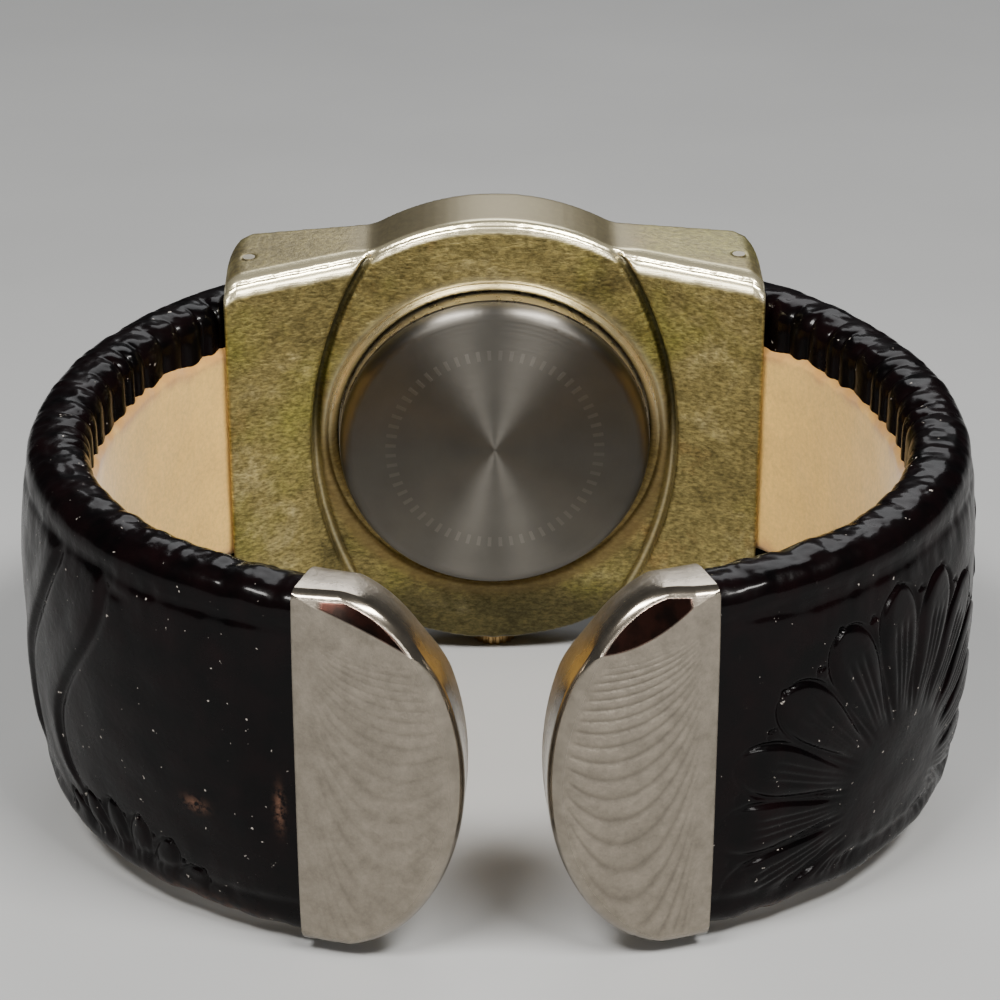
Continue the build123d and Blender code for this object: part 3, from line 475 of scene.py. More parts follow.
class Nodes:
    """Short way to build a node tree."""

    def __init__(self, name):
        self.material = bpy.data.materials.new(name)
        self.material.use_nodes = True
        self.tree = self.material.node_tree
        self.shader = self.tree.nodes["Principled BSDF"]
        self.where = self.add("ShaderNodeTexCoord").outputs["Object"]

    def add(self, kind, **values):
        node = self.tree.nodes.new(kind)
        for key, value in values.items():
            setattr(node, key, value)
        return node

    def link(self, source, target):
        self.tree.links.new(source, target)

    def give(self, socket, value):
        """A number, a colour or another node's output for a socket."""
        if isinstance(value, bpy.types.NodeSocket):
            self.link(value, socket)
        elif isinstance(value, (int, float)):
            socket.default_value = value
        else:
            socket.default_value = (*value[:3], 1)

    def set(self, **values):
        for key, value in values.items():
            self.shader.inputs[key.replace("_", " ")].default_value = value

    def noise(self, scale, detail=3.0, roughness=0.5, where=None, distortion=0.0):
        node = self.add("ShaderNodeTexNoise")
        node.inputs["Scale"].default_value = scale
        node.inputs["Detail"].default_value = detail
        node.inputs["Roughness"].default_value = roughness
        node.inputs["Distortion"].default_value = distortion
        self.link(where or self.where, node.inputs["Vector"])
        return node.outputs["Fac"]

    def cells(self, scale):
        node = self.add("ShaderNodeTexVoronoi", feature="SMOOTH_F1")
        node.inputs["Scale"].default_value = scale
        self.link(self.where, node.inputs["Vector"])
        return node.outputs["Distance"]

    def ramp(self, source, stops):
        node = self.add("ShaderNodeValToRGB")
        elements = node.color_ramp.elements
        while len(elements) < len(stops):
            elements.new(0.5)
        for element, (position, colour) in zip(elements, stops):
            element.position = position
            element.color = (*colour, 1)
        self.link(source, node.inputs["Fac"])
        return node.outputs["Color"]

    def grey(self, source, low, high, dark=0.0, light=1.0):
        return self.ramp(source, [(low, (dark,) * 3), (high, (light,) * 3)])

    def mix(self, factor, first, second, kind="MIX"):
        node = self.add("ShaderNodeMix", data_type="RGBA", blend_type=kind)
        for index, value in ((0, factor), (6, first), (7, second)):
            self.give(node.inputs[index], value)
        return node.outputs[2]

    def math(self, operation, first, second=0.0):
        node = self.add("ShaderNodeMath", operation=operation)
        for socket, value in zip(node.inputs, (first, second)):
            self.give(socket, value)
        return node.outputs[0]

    def attribute(self, name):
        return self.add("ShaderNodeAttribute", attribute_name=name).outputs["Fac"]

    def stretched(self, scale):
        node = self.add("ShaderNodeMapping")
        node.inputs["Scale"].default_value = scale
        self.link(self.where, node.inputs["Vector"])
        return node.outputs["Vector"]

    def bump(self, height, strength, distance_mm, after=None):
        node = self.add("ShaderNodeBump")
        node.inputs["Strength"].default_value = strength
        node.inputs["Distance"].default_value = distance_mm * MM
        self.link(height, node.inputs["Height"])
        if after is not None:
            self.link(after, node.inputs["Normal"])
        return node.outputs["Normal"]

    def finish(self, colour, roughness, normal=None, metallic=None):
        values = {"Base Color": colour, "Roughness": roughness, "Normal": normal, "Metallic": metallic}
        for socket, value in values.items():
            if value is not None:
                self.give(self.shader.inputs[socket], value)
        return self.material


def shade(colour, share):
    """A colour made darker or lighter by a share."""
    return tuple(min(1.0, channel * share) for channel in colour[:3])


def leather_material(colour):
    """Glossy black leather: fine grain, purple brown tint, pale scuffs and worn brown spots."""
    n = Nodes("black_tooled_leather")
    tint = n.ramp(n.noise(420, 4), [(0.35, colour), (0.75, (0.0030, 0.0011, 0.0013))])
    scuff = n.grey(n.noise(1500, 2, 0.7), 0.715, 0.75)
    scratch = n.grey(n.noise(1, 3, 0.6, n.stretched((2600, 900, 260))), 0.735, 0.80)
    tint = n.mix(n.math("MULTIPLY", scratch, 0.14), tint, (0.30, 0.26, 0.24))
    tint = n.mix(n.math("MULTIPLY", scuff, 0.5), tint, (0.55, 0.50, 0.45))
    wear = n.math("MULTIPLY", n.attribute("wear"), n.grey(n.noise(1500, 4, 0.7), 0.40, 0.56))
    tint = n.mix(wear, tint, (0.10, 0.05, 0.032))
    gloss = n.grey(n.noise(260, 4, 0.6), 0.3, 0.75, 0.22, 0.40)
    gloss = n.mix(wear, gloss, (0.75, 0.75, 0.75))
    grain = n.mix(0.5, n.cells(2300), n.noise(1800, 4, 0.6))
    normal = n.bump(grain, 0.45, 0.05, n.bump(n.noise(420, 4, 0.6), 0.5, 0.14))
    n.set(Coat_Weight=0.20, Coat_Roughness=0.12, Specular_IOR_Level=0.03)
    return n.finish(tint, gloss, normal)


def suede_material(colour):
    """Matt tan suede: mottled, with a fine nap and a darker, warmer rim."""
    n = Nodes("tan_suede")
    mottle = [(0.3, shade(colour, 0.82)), (0.55, colour), (0.8, shade(colour, 1.18))]
    tint = n.ramp(n.noise(230, 5, 0.65), mottle)
    fibre = n.noise(2600, 4, 0.7)
    tint = n.mix(0.35, tint, n.ramp(fibre, [(0.35, shade(colour, 0.62)), (0.65, shade(colour, 1.25))]))
    tint = n.mix(n.math("MULTIPLY", n.attribute("edge"), 0.75), tint, (0.36, 0.16, 0.035))
    normal = n.bump(fibre, 0.5, 0.06, n.bump(n.noise(500, 3), 0.3, 0.12))
    n.set(Sheen_Weight=0.35, Sheen_Roughness=0.6, Specular_IOR_Level=0.2)
    return n.finish(tint, 0.93, normal)


def casting_material(colour):
    """Tarnished plating on a casting: olive, brown and pale patches over short lying dashes of grain, with a
    painted cream highlight on the rounded edges, the bore's lip and the lower crease, and painted near-black
    shade in the upper crease, the gap round the back and towards the bottom.
    """
    n = Nodes("tarnished_casting")
    tint = n.ramp(
        n.noise(170, 6, 0.7, distortion=0.4),
        [(0.30, shade(colour, 0.55)), (0.44, colour), (0.56, shade(colour, 1.2)), (0.74, (0.50, 0.43, 0.22))],
    )
    green = n.grey(n.noise(95, 5, 0.6), 0.50, 0.68)
    tint = n.mix(n.math("MULTIPLY", green, 0.55), tint, (0.27, 0.27, 0.05))
    brown = n.grey(n.noise(120, 5, 0.65, n.stretched((1, 1.4, 0.8))), 0.56, 0.70)
    tint = n.mix(n.math("MULTIPLY", brown, 0.5), tint, (0.33, 0.17, 0.06))
    dash = n.noise(1, 4, 0.65, n.stretched((2100, 2100, 4600)))
    dashes = [(0.36, (0.30, 0.28, 0.22)), (0.52, (1, 1, 1)), (0.68, (1.9, 1.85, 1.6))]
    tint = n.mix(0.65, tint, n.ramp(dash, dashes), "MULTIPLY")
    tint = n.mix(n.math("MULTIPLY", n.attribute("collar"), 0.7), tint, (0.21, 0.145, 0.06))
    tint = n.mix(n.attribute("polish"), tint, (0.27, 0.232, 0.15))
    # Painted highlight: cream where the light catches the rounded brow, the top of the bore's lip and the
    # lower crease
    tint = n.mix(n.attribute("edge"), tint, (0.88, 0.79, 0.52))
    # Painted shade: near black in the upper crease, in the gap round the back and towards the bottom
    tint = n.mix(n.attribute("painted_shade"), tint, (0.018, 0.018, 0.010))
    gloss = n.grey(n.noise(600, 4), 0.3, 0.7, 0.36, 0.52)
    gloss = n.mix(n.attribute("polish"), gloss, (0.34, 0.34, 0.34))
    gloss = n.mix(n.attribute("edge"), gloss, (0.22, 0.22, 0.22))
    bright = n.math("MAXIMUM", n.attribute("polish"), n.attribute("edge"))
    rough = n.math("SUBTRACT", 1.0, n.math("MAXIMUM", n.attribute("collar"), bright))
    normal = n.bump(n.math("MULTIPLY", n.mix(0.3, dash, n.noise(480, 4, 0.6)), rough), 0.75, 0.13)
    return n.finish(tint, gloss, normal, 0.9)


def nickel_material(colour):
    """Satin nickel plate: fine grain, faint stains, painted shade in the ridge lines, and a glossy facet at
    the top painted dark brown as a reflection.
    """
    n = Nodes("satin_nickel")
    stains = [(0.3, shade(colour, 0.72)), (0.55, colour), (0.8, shade(colour, 1.28))]
    tint = n.ramp(n.noise(700, 6, 0.75), stains)
    # Painted shade in the ridge lines
    tint = n.mix(n.attribute("painted_shade"), tint, shade(colour, 0.30))
    # Painted reflection: the glossy facet is painted dark brown, as it mirrors dark things
    dark = n.ramp(n.noise(700, 3), [(0.4, (0.035, 0.022, 0.018)), (0.6, (0.085, 0.035, 0.026))])
    tint = n.mix(n.attribute("lens"), tint, dark)
    fine = n.noise(2600, 4, 0.7)
    gloss = n.grey(n.noise(900, 4, 0.6), 0.3, 0.7, 0.34, 0.46)
    gloss = n.mix(n.attribute("polish"), gloss, (0.14, 0.14, 0.14))
    flat = n.math("SUBTRACT", 1.0, n.attribute("polish"))
    normal = n.bump(n.math("MULTIPLY", fine, flat), 0.9, 0.07)
    return n.finish(tint, gloss, normal, 0.96)


def turned_steel_material(colour):
    """Steel turned on a lathe: fine rings about the watch's axis, and a ring of plain ticks."""
    n = Nodes("turned_steel")
    centre = n.add("ShaderNodeVectorMath", operation="SUBTRACT")
    centre.inputs[1].default_value = tuple(WRIST)
    n.link(n.where, centre.inputs[0])
    split = n.add("ShaderNodeSeparateXYZ")
    n.link(centre.outputs["Vector"], split.inputs[0])
    x, z = split.outputs["X"], split.outputs["Z"]
    radius = n.math("SQRT", n.math("ADD", n.math("MULTIPLY", x, x), n.math("MULTIPLY", z, z)))
    combine = n.add("ShaderNodeCombineXYZ")
    n.link(n.math("MULTIPLY", radius, 5200.0), combine.inputs[0])
    rings = n.noise(1, 4, 0.8, combine.outputs[0])
    turns = n.math("MULTIPLY", n.math("ARCTAN2", z, x), TICKS / (2 * math.pi))
    off_tick = n.math("ABSOLUTE", n.math("SUBTRACT", n.math("FRACT", turns), 0.5))
    tick = n.math("LESS_THAN", off_tick, TICK_SHARE)
    off_ring = n.math("ABSOLUTE", n.math("SUBTRACT", radius, TICK_REACH * MM))
    band = n.math("LESS_THAN", off_ring, TICK_HALF * MM)
    mark = n.math("MULTIPLY", tick, band)
    tint = n.mix(n.grey(n.noise(240, 4), 0.3, 0.75), colour, shade(colour, 1.25))
    tint = n.mix(n.math("MULTIPLY", mark, 0.5), tint, shade(colour, 1.7))
    gloss = n.grey(rings, 0.3, 0.7, 0.30, 0.42)
    normal = n.bump(rings, 0.22, 0.02, n.bump(mark, 0.35, 0.03))
    n.set(Anisotropic=0.9, Anisotropic_Rotation=0.25)
    tangent = n.add("ShaderNodeTangent", direction_type="RADIAL", axis="Y")
    n.link(tangent.outputs[0], n.shader.inputs["Tangent"])
    return n.finish(tint, gloss, normal, 1.0)


def plain_metal(name, colour, rough=0.3, grain=900.0):
    """Machined or plated metal with a fine uneven surface."""
    n = Nodes(name)
    tint = n.ramp(n.noise(grain * 0.3, 4), [(0.3, shade(colour, 0.88)), (0.75, shade(colour, 1.1))])
    gloss = n.grey(n.noise(grain, 3), 0.3, 0.7, rough * 0.85, rough * 1.25)
    return n.finish(tint, gloss, n.bump(n.noise(grain * 2, 3), 0.15, 0.02), 1.0)


def plain_stuff(name, colour, rough=0.6, grain=1200.0):
    """Moulded plastic, rubber, foam or paint with a fine uneven surface."""
    n = Nodes(name)
    tint = n.ramp(n.noise(grain * 0.3, 4), [(0.3, shade(colour, 0.92)), (0.75, shade(colour, 1.06))])
    gloss = n.grey(n.noise(grain, 3), 0.3, 0.7, rough * 0.9, min(1.0, rough * 1.1))
    return n.finish(tint, gloss, n.bump(n.noise(grain * 1.5, 3), 0.2, 0.02))


def crystal_material():
    """Clear mineral glass with faint smears."""
    n = Nodes("mineral_glass")
    n.set(Transmission_Weight=1.0, IOR=1.5)
    return n.finish((0.96, 0.98, 0.98), n.grey(n.noise(260, 3), 0.4, 0.7, 0.01, 0.04))


def dial_material():
    """Cream dial with a faint grain."""
    n = Nodes("cream_dial")
    tint = n.ramp(n.noise(330, 5, 0.6), [(0.3, (0.62, 0.54, 0.36)), (0.7, (0.72, 0.65, 0.47))])
    gloss = n.grey(n.noise(800, 3), 0.3, 0.7, 0.30, 0.42)
    return n.finish(tint, gloss, n.bump(n.noise(2500, 2), 0.15, 0.01))


def floor_material():
    """Pale matt floor."""
    n = Nodes("pale_floor")
    tint = n.ramp(n.noise(14, 4), [(0.3, (0.275, 0.278, 0.278)), (0.7, (0.308, 0.311, 0.311))])
    return n.finish(tint, 0.85, n.bump(n.noise(500, 3), 0.08, 0.1))


def dress(name, material):
    """Gives a CAD node a material and smooth shading that keeps its edges."""
    node = frame["nodes"][name]
    mesh = node.data
    if mesh.materials:
        for index in range(len(mesh.materials)):
            mesh.materials[index] = material
    else:
        mesh.materials.append(material)
    mesh.polygons.foreach_set("use_smooth", [True] * len(mesh.polygons))
    mesh.set_sharp_from_angle(angle=math.radians(30))


# Pieces

class CUFF_OT_leather(bpy.types.Operator):
    """Builds both padded leather arms with their tooling, pleats and wear"""

    bl_idname = "cuff.leather"
    bl_label = "Leather arms"

    def execute(self, context):
        settings = context.scene.cuff_leather
        material = leather_material(settings.colour)
        for side, tooling, seed, turn in (("right", right_tooling, 11, 1), ("left", left_tooling, 47, -1)):
            points, along, up, kind = leather_surface(settings, tooling, seed)
            faces = capped_tube_faces(*kind.shape, flip=turn < 0)
            piece = make_piece(
                f"{side}_leather_skin", (points * (turn, 1, 1)).reshape(-1, 3), faces,
                f"{side}_arm", material, f"{side}_leather",
            )
            spots = [((along - s) / ds) ** 2 + ((up - z) / dz) ** 2 for s, z, ds, dz in WORN_SPOTS[side]]
            add_mask(piece, "wear", sum(np.exp(-spot) for spot in spots) * (kind != 2))
        return {"FINISHED"}


class CUFF_OT_lining(bpy.types.Operator):
    """Builds the suede linings, whose uneven edges lie over the turned leather"""

    bl_idname = "cuff.lining"
    bl_label = "Suede linings"

    def execute(self, context):
        material = suede_material(context.scene.cuff_leather.lining)
        rows, cols = 300, 90
        for side, turn, seed in (("right", 1, 5), ("left", -1, 6)):
            along = np.linspace(0.1, ARM_LENGTH - 0.2, rows)
            point, outward = arm_plan(along)
            wave = 0.28 * soft_noise(along, along * 0, 3.0, seed)
            wave = wave + 0.14 * soft_noise(along, along * 0, 1.2, seed + 20)
            inset = strap_half(point[:, 1]) - LINING_MARGIN
            half = inset + wave
            low = -inset + 0.3 * soft_noise(along, along * 0 + 9, 3.0, seed + 2)
            share = np.linspace(0, 1, cols)
            up = low[:, None] + (half - low)[:, None] * share
            rim = np.minimum(share, 1 - share)[None, :] * (half - low)[:, None]
            proud = LINING_PROUD * smooth_step(-0.05, 0.55, rim)
            proud = proud + 0.05 * soft_noise(along[:, None], up, 3.0, seed + 4)
            layers = []
            for depth in (ARM_THICKNESS + proud, ARM_THICKNESS - LINING_SUNK + 0 * proud):
                x = point[:, 0][:, None] - outward[:, 0][:, None] * depth
                y = point[:, 1][:, None] - outward[:, 1][:, None] * depth
                layers.append(np.stack([x * turn, y, up], axis=-1).reshape(-1, 3))
            piece = make_piece(
                f"{side}_suede_lining", np.concatenate(layers), closed_sheets(rows, cols, flip=turn > 0),
                f"{side}_arm", material, f"{side}_lining",
            )
            edge = 1 - smooth_step(0.1, 1.5, rim + 0.5 * soft_noise(along[:, None], up, 1.5, seed + 9))
            add_mask(piece, "edge", np.concatenate([edge.ravel(), edge.ravel()]))
        return {"FINISHED"}


def cap_outline_x(up):
    """Width of the cap's D shape at a height, from its seam."""
    reach = CAP_WIDTH - CAP_STRAIGHT
    share = np.clip(1 - (up / CAP_HALF) ** 2, 0, 1)
    return CAP_STRAIGHT + reach * share**0.55


def rounded(inset, radius):
    """How far a rounded edge falls away at a distance in from it."""
    near = np.clip(inset / radius, 0, 1)
    return radius * (1 - np.sqrt(np.clip(1 - (1 - near) ** 2, 0, 1)))


def shell_ridges(across, up):
    """Nested curves that leave the top of the seam, run down beside it and bend across, like a shell's."""
    x = across - 0.1
    depth = fall = np.maximum(CAP_HALF - 0.9 - up, 0.05)
    for _ in range(3):
        middle = np.clip(8.4 - 0.13 * depth, 5.7, 8.4)
        depth = fall / np.sqrt(np.clip(1 - ((x - middle) / middle) ** 2, 0.02, 1))
    phase = 8.7 * np.log(np.clip(depth, 2.0, 90))
    saw = phase - np.floor(phase)
    down = np.gradient(phase, axis=0) / np.gradient(up, axis=0)
    crowding = np.hypot(down, np.gradient(phase, axis=1) / np.gradient(across, axis=1))
    clear = smooth_step(3.0, 5.0, depth) / (1 + (crowding / 2.6) ** 4)
    line = np.exp(-((np.minimum(saw, 1 - saw) / 0.17) ** 2)) * clear
    return 0.5 * (1 - (2 * saw - 1) ** 2) * clear - 0.6 * line, line


class CUFF_OT_caps(bpy.types.Operator):
    """Builds the two metal end caps, domed and faceted, with curved ridges"""

    bl_idname = "cuff.caps"
    bl_label = "End caps"

    def execute(self, context):
        metal = context.scene.cuff_metal
        material = nickel_material(metal.nickel)
        rows, cols = 420, 150
        for side, turn, depth_share, lens_share in (("right", 1, 1.0, 0.65), ("left", -1, 0.4, -0.2)):
            height = np.linspace(-1, 1, rows)
            height = CAP_HALF * np.sign(height) * (1 - (1 - np.abs(height)) ** 1.35)
            up = height[:, None] * np.ones((1, cols))
            share = np.sin(np.linspace(0, np.pi / 2, cols))
            width = cap_outline_x(up)
            across = share[None, :] * width
            slope = np.gradient(cap_outline_x(height), height)
            side_gap = (width - across) / np.sqrt(1 + np.clip(slope, -6, 6)[:, None] ** 2)
            inset = np.minimum(CAP_HALF - np.abs(up), side_gap)
            brow = smooth_step(6.5, 10.5, up)
            radius = 1.15 - 0.6 * brow
            near = np.clip(inset / radius, 0, 1)
            rounding = 0.85 * rounded(inset, radius) + 0.16 * (1 - near)
            sag = lens_share * np.clip(1 - ((across - 4.6) / 3.1) ** 2, 0, 1)
            rise = (across - 1.5) * 0.44 + (up - CAP_HALF + 0.95) * 0.898 + sag
            lens_depth = 0.42 * np.maximum(0, rise)
            dome = 0.40 * np.clip(across / CAP_WIDTH, 0, 1) ** 2 + 0.25 * (up / CAP_HALF) ** 4
            lens = smooth_step(0.0, 0.14, rise) * smooth_step(0.42, 0.60, inset)
            lens = lens * (across < 8.2) * smooth_step(1.5, 2.0, across)
            inside = smooth_step(0.9, 1.7, inset) * smooth_step(0.1, 0.7, across)
            inside = inside * (1 - smooth_step(-0.4, 0.0, rise))
            ridge, line = shell_ridges(across, up)
            carve = metal.ridge * depth_share * ridge * inside
            front_depth = -CAP_WALL - 0.2 + rounding + lens_depth + dome - carve
            back_depth = ARM_THICKNESS + CAP_WALL - rounded(inset, 1.3 + 1.5 * brow)
            angle = -np.arccos(np.clip((SEAM_X - across) / FRONT_RADIUS, -1, 1))
            sheets = []
            for depth in (front_depth, back_depth):
                x = (FRONT_RADIUS - depth) * np.cos(angle)
                y = FRONT_Y + (FRONT_RADIUS - depth) * np.sin(angle)
                sheets.append(np.stack([x * turn, y, up + CAP_LIFT], axis=-1).reshape(-1, 3))
            piece = make_piece(
                f"{side}_nickel_cap", np.concatenate(sheets), closed_sheets(rows, cols, flip=turn < 0),
                f"{side}_arm", material, f"{side}_end_cap",
            )
            polish = np.maximum(lens, 1 - smooth_step(0.5, 1.2, inset / radius))
            # Painted shade darkens the ridge lines; the lens mask paints the top facet dark brown as a
            # painted reflection
            painted_shade = line * inside * 0.35 * depth_share
            none = np.zeros(rows * cols)
            for name, values in (("polish", polish), ("lens", lens), ("painted_shade", painted_shade)):
                add_mask(piece, name, np.concatenate([values.ravel(), none]))
        return {"FINISHED"}


def corner_pull(inward, rise):
    """What is left of two distances into a square corner when it is rounded."""
    pull = np.maximum(inward, rise) / np.maximum(np.hypot(inward, rise), 1e-6)
    return np.where((inward > 0) & (rise > 0), pull, 1)


def round_brow(local, normals):
    """Rounds the edge between the head's top and wrist side, and says how near to it each point is."""
    column = np.round(np.abs(local[:, 0]) / COLUMN_STEP).astype(int)
    high = local[:, 2] > 8
    upper = (normals[:, 2] > 0.7) & high
    highest = np.full(column.max() + 1, -UNKNOWN)
    np.maximum.at(highest, column[upper], local[upper, 2])
    nearest = np.full(column.max() + 1, UNKNOWN)
    np.minimum.at(nearest, column[high], local[high, 1])
    centres = np.arange(len(highest)) * COLUMN_STEP
    known = highest > 0
    reach = np.abs(local[:, 0])
    ceiling = np.interp(reach, centres[known], highest[known])
    front = np.interp(reach, centres, nearest)
    radius = EAR_BROW - (EAR_BROW - BULGE_BROW) * (1 - smooth_step(9.5, 11.5, reach))
    inward = np.clip(radius - (local[:, 1] - front), 0, radius)
    rise = np.clip(radius - (ceiling - local[:, 2]), 0, radius)
    factor = corner_pull(inward, rise)
    moved = local.copy()
    moved[:, 1] += inward * (1 - factor)
    moved[:, 2] -= rise * (1 - factor)
    return moved, smooth_step(0.0, 0.35, np.minimum(inward, rise) / radius)


def round_lip(local):
    """Rounds the edge of the bore on the head's wrist side."""
    distance = np.hypot(local[:, 0], local[:, 2])
    inward = np.clip(LIP - (local[:, 1] - HEAD_WRIST_Y), 0, LIP)
    rise = np.clip(LIP - (distance - BORE_RADIUS), 0, LIP)
    factor = np.where(distance > BORE_RADIUS - 0.3, corner_pull(inward, rise), 1)
    moved = local.copy()
    moved[:, 1] += inward * (1 - factor)
    widened = (distance + rise * (1 - factor)) / np.maximum(distance, 1e-6)
    moved[:, 0] *= widened
    moved[:, 2] *= widened
    return moved


class CUFF_OT_casting(bpy.types.Operator):
    """Rounds the CAD head into a casting with soft edges and a grained skin"""

    bl_idname = "cuff.casting"
    bl_label = "Cast head"

    def execute(self, context):
        metal = context.scene.cuff_metal
        source = frame["nodes"]["head_case"]
        working = source.copy()
        working.data = source.data.copy()
        working.parent = None
        context.scene.collection.objects.link(working)
        remesh = working.modifiers.new("even", "REMESH")
        remesh.mode = "VOXEL"
        remesh.voxel_size = VOXEL * MM
        soften = working.modifiers.new("soften", "SMOOTH")
        soften.factor = 0.5
        soften.iterations = 7
        evaluated = working.evaluated_get(context.evaluated_depsgraph_get())
        mesh = bpy.data.meshes.new_from_object(evaluated)
        bpy.data.objects.remove(working)
        points, normals = np.empty((2, len(mesh.vertices) * 3))
        mesh.vertices.foreach_get("co", points)
        mesh.vertices.foreach_get("normal", normals)
        normals = normals.reshape(-1, 3)
        local = (points.reshape(-1, 3) - WRIST) / MM
        local, edge = round_brow(local, normals)
        local = round_lip(local)
        grain = soft_noise(local[:, 0] + local[:, 1], local[:, 2], 1.1, 3)
        grain += 0.6 * soft_noise(local[:, 0], local[:, 2] - local[:, 1], 0.55, 4)
        lumps = 0.9 * soft_noise(local[:, 0], local[:, 2] + local[:, 1], 3.6, 8)
        facing = np.clip(-normals[:, 1], 0, 1)
        top = np.clip(np.abs(normals[:, 2]) - 0.45, 0, 1) / 0.55
        radius = np.hypot(local[:, 0], local[:, 2])
        outer = smooth_step(13.6, 14.4, radius)
        relief = grain * facing * outer + lumps * (0.3 + 0.7 * facing)
        push = metal.cast_grain * relief * 0.5 * (1 - edge)
        points = place(local) + normals * push[:, None] * MM
        mesh.vertices.foreach_set("co", points.ravel())
        mesh.polygons.foreach_set("use_smooth", [True] * len(mesh.polygons))
        mesh.materials.clear()
        mesh.materials.append(casting_material(metal.casting))
        piece = bpy.data.objects.new("cast_head", mesh)
        context.scene.collection.objects.link(piece)
        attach(piece, "head")
        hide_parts("head_case")
        # Painted highlight on the bore's lip, strongest at its top and fading downwards
        lip = groove(radius - BORE_RADIUS - 0.3, 0.55) * smooth_step(-2.0, 5.0, local[:, 2])
        lip *= local[:, 1] < HEAD_WRIST_Y + 1
        on_bulge = 1 - smooth_step(9.5, 12.5, np.abs(local[:, 0]))
        add_mask(piece, "polish", top * outer * (0.5 + 0.45 * on_bulge))
        # The crease beside the bulge: painted highlight on its lower part, painted shade on its upper part
        bow = BULGE_HALF - BULGE_ARC + np.sqrt(np.clip(BULGE_ARC**2 - local[:, 2] ** 2, 0, None))
        crease = groove(np.abs(local[:, 0]) - bow + 0.25, 0.36) * smooth_step(0.0, 0.5, facing)
        crease *= (local[:, 1] > HEAD_WRIST_Y - 0.6) * (np.abs(local[:, 2]) < 15.6)
        upper = smooth_step(-3.0, 4.0, local[:, 2])
        # Painted highlight mask: the rounded brow, the bore's lip and the lower crease
        add_mask(piece, "edge", np.maximum.reduce([edge, lip, crease * 0.45 * (1 - upper)]))
        collar = (1 - smooth_step(14.0, 15.0, radius)) * (1 - smooth_step(1.0, 7.0, local[:, 2]))
        add_mask(piece, "collar", collar * facing)
        # Painted shade: the gap round the back, the upper crease, and darker towards the bottom, where the
        # caps shade the head
        gap = (1 - smooth_step(BORE_RADIUS - 0.5, BORE_RADIUS, radius)) * (local[:, 1] > HEAD_WRIST_Y - 1)
        bottom_shadow = 0.72 * (1 - smooth_step(-15.5, -11.5, local[:, 2])) * facing
        add_mask(piece, "painted_shade", np.maximum.reduce([crease * (0.1 + 0.8 * upper), gap * 0.8, bottom_shadow]))
        return {"FINISHED"}


class CUFF_OT_case(bpy.types.Operator):
    """Finishes the steel back, the watch case, bezel, crystal and gaskets"""

    bl_idname = "cuff.case"
    bl_label = "Back, bezel and crystal"

    def execute(self, context):
        metal = context.scene.cuff_metal
        dress("case_back", turned_steel_material(metal.steel))
        dress("inner_case", plain_metal("plated_case", (0.55, 0.50, 0.40), 0.28))
        dress("bezel_ring", plain_metal("polished_bezel", shade(metal.casting, 1.7), 0.25, 500.0))
        dress("crystal", crystal_material())
        black = plain_stuff("black_rubber", (0.02, 0.02, 0.02), 0.7)
        dress("case_back_gasket", black)
        dress("crown_seal", black)
        dress("crystal_gasket", plain_stuff("white_gasket", (0.75, 0.74, 0.70), 0.4))
        return {"FINISHED"}


class CUFF_OT_dial(bpy.types.Operator):
    """Finishes the dial, its batons and hands, and sets plain numbers on it"""

    bl_idname = "cuff.dial"
    bl_label = "Dial and hands"

    def execute(self, context):
        dress("dial", dial_material())
        gilt = plain_metal("gilt", (0.70, 0.50, 0.20), 0.2)
        for name in ("hour_markers", "hour_hand", "minute_hand", "second_hand"):
            dress(name, gilt)
        dress("dial_ring", plain_metal("dial_ring_plate", (0.60, 0.55, 0.44), 0.22))
        ink = plain_stuff("brown_ink", (0.05, 0.03, 0.015), 0.5)
        dial_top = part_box("dial")[1][1]
        for hour in range(1, 13):
            curve = bpy.data.curves.new(f"numeral_{hour}", "FONT")
            curve.body = str(hour)
            curve.size = NUMERAL_SIZE * MM
            curve.extrude = INK_THICKNESS * MM
            curve.align_x = curve.align_y = "CENTER"
            curve.materials.append(ink)
            numeral = bpy.data.objects.new(f"numeral_{hour}", curve)
            context.scene.collection.objects.link(numeral)
            angle = math.radians(30 * hour)
            reach = NUMERAL_REACH * MM
            x, z = WRIST[0] - reach * math.cos(angle), WRIST[2] - reach * math.sin(angle)
            facing = Matrix(((0, -1, 0, 0), (0, 0, 1, 0), (-1, 0, 0, 0), (0, 0, 0, 1)))
            numeral.matrix_world = Matrix.Translation((x, dial_top + INK_RISE * MM, z)) @ facing
            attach(numeral, "head")
        return {"FINISHED"}


class CUFF_OT_movement(bpy.types.Operator):
    """Finishes the movement, which the case hides"""

    bl_idname = "cuff.movement"
    bl_label = "Movement"

    def execute(self, context):
        brass = plain_metal("movement_brass", (0.62, 0.46, 0.20), 0.32)
        steel = plain_metal("bright_steel", (0.60, 0.60, 0.60), 0.25)
        wheels = ("hour_wheel", "cannon_pinion", "second_wheel", "third_wheel", "minute_wheel")
        for name in ("main_plate", "train_bridge", *wheels):
            dress(name, brass)
        bright = ("battery", "battery_clip", "stator", "rotor", "quartz_can", "winding_stem", "crown_tube")
        for name in bright:
            dress(name, steel)
        dress("coil", plain_metal("copper_wire", (0.65, 0.27, 0.10), 0.35, 2500.0))
        dress("circuit_board", plain_stuff("green_board", (0.03, 0.16, 0.07), 0.4))
        dress("movement_holder", plain_stuff("white_holder", (0.75, 0.74, 0.70), 0.5))
        return {"FINISHED"}


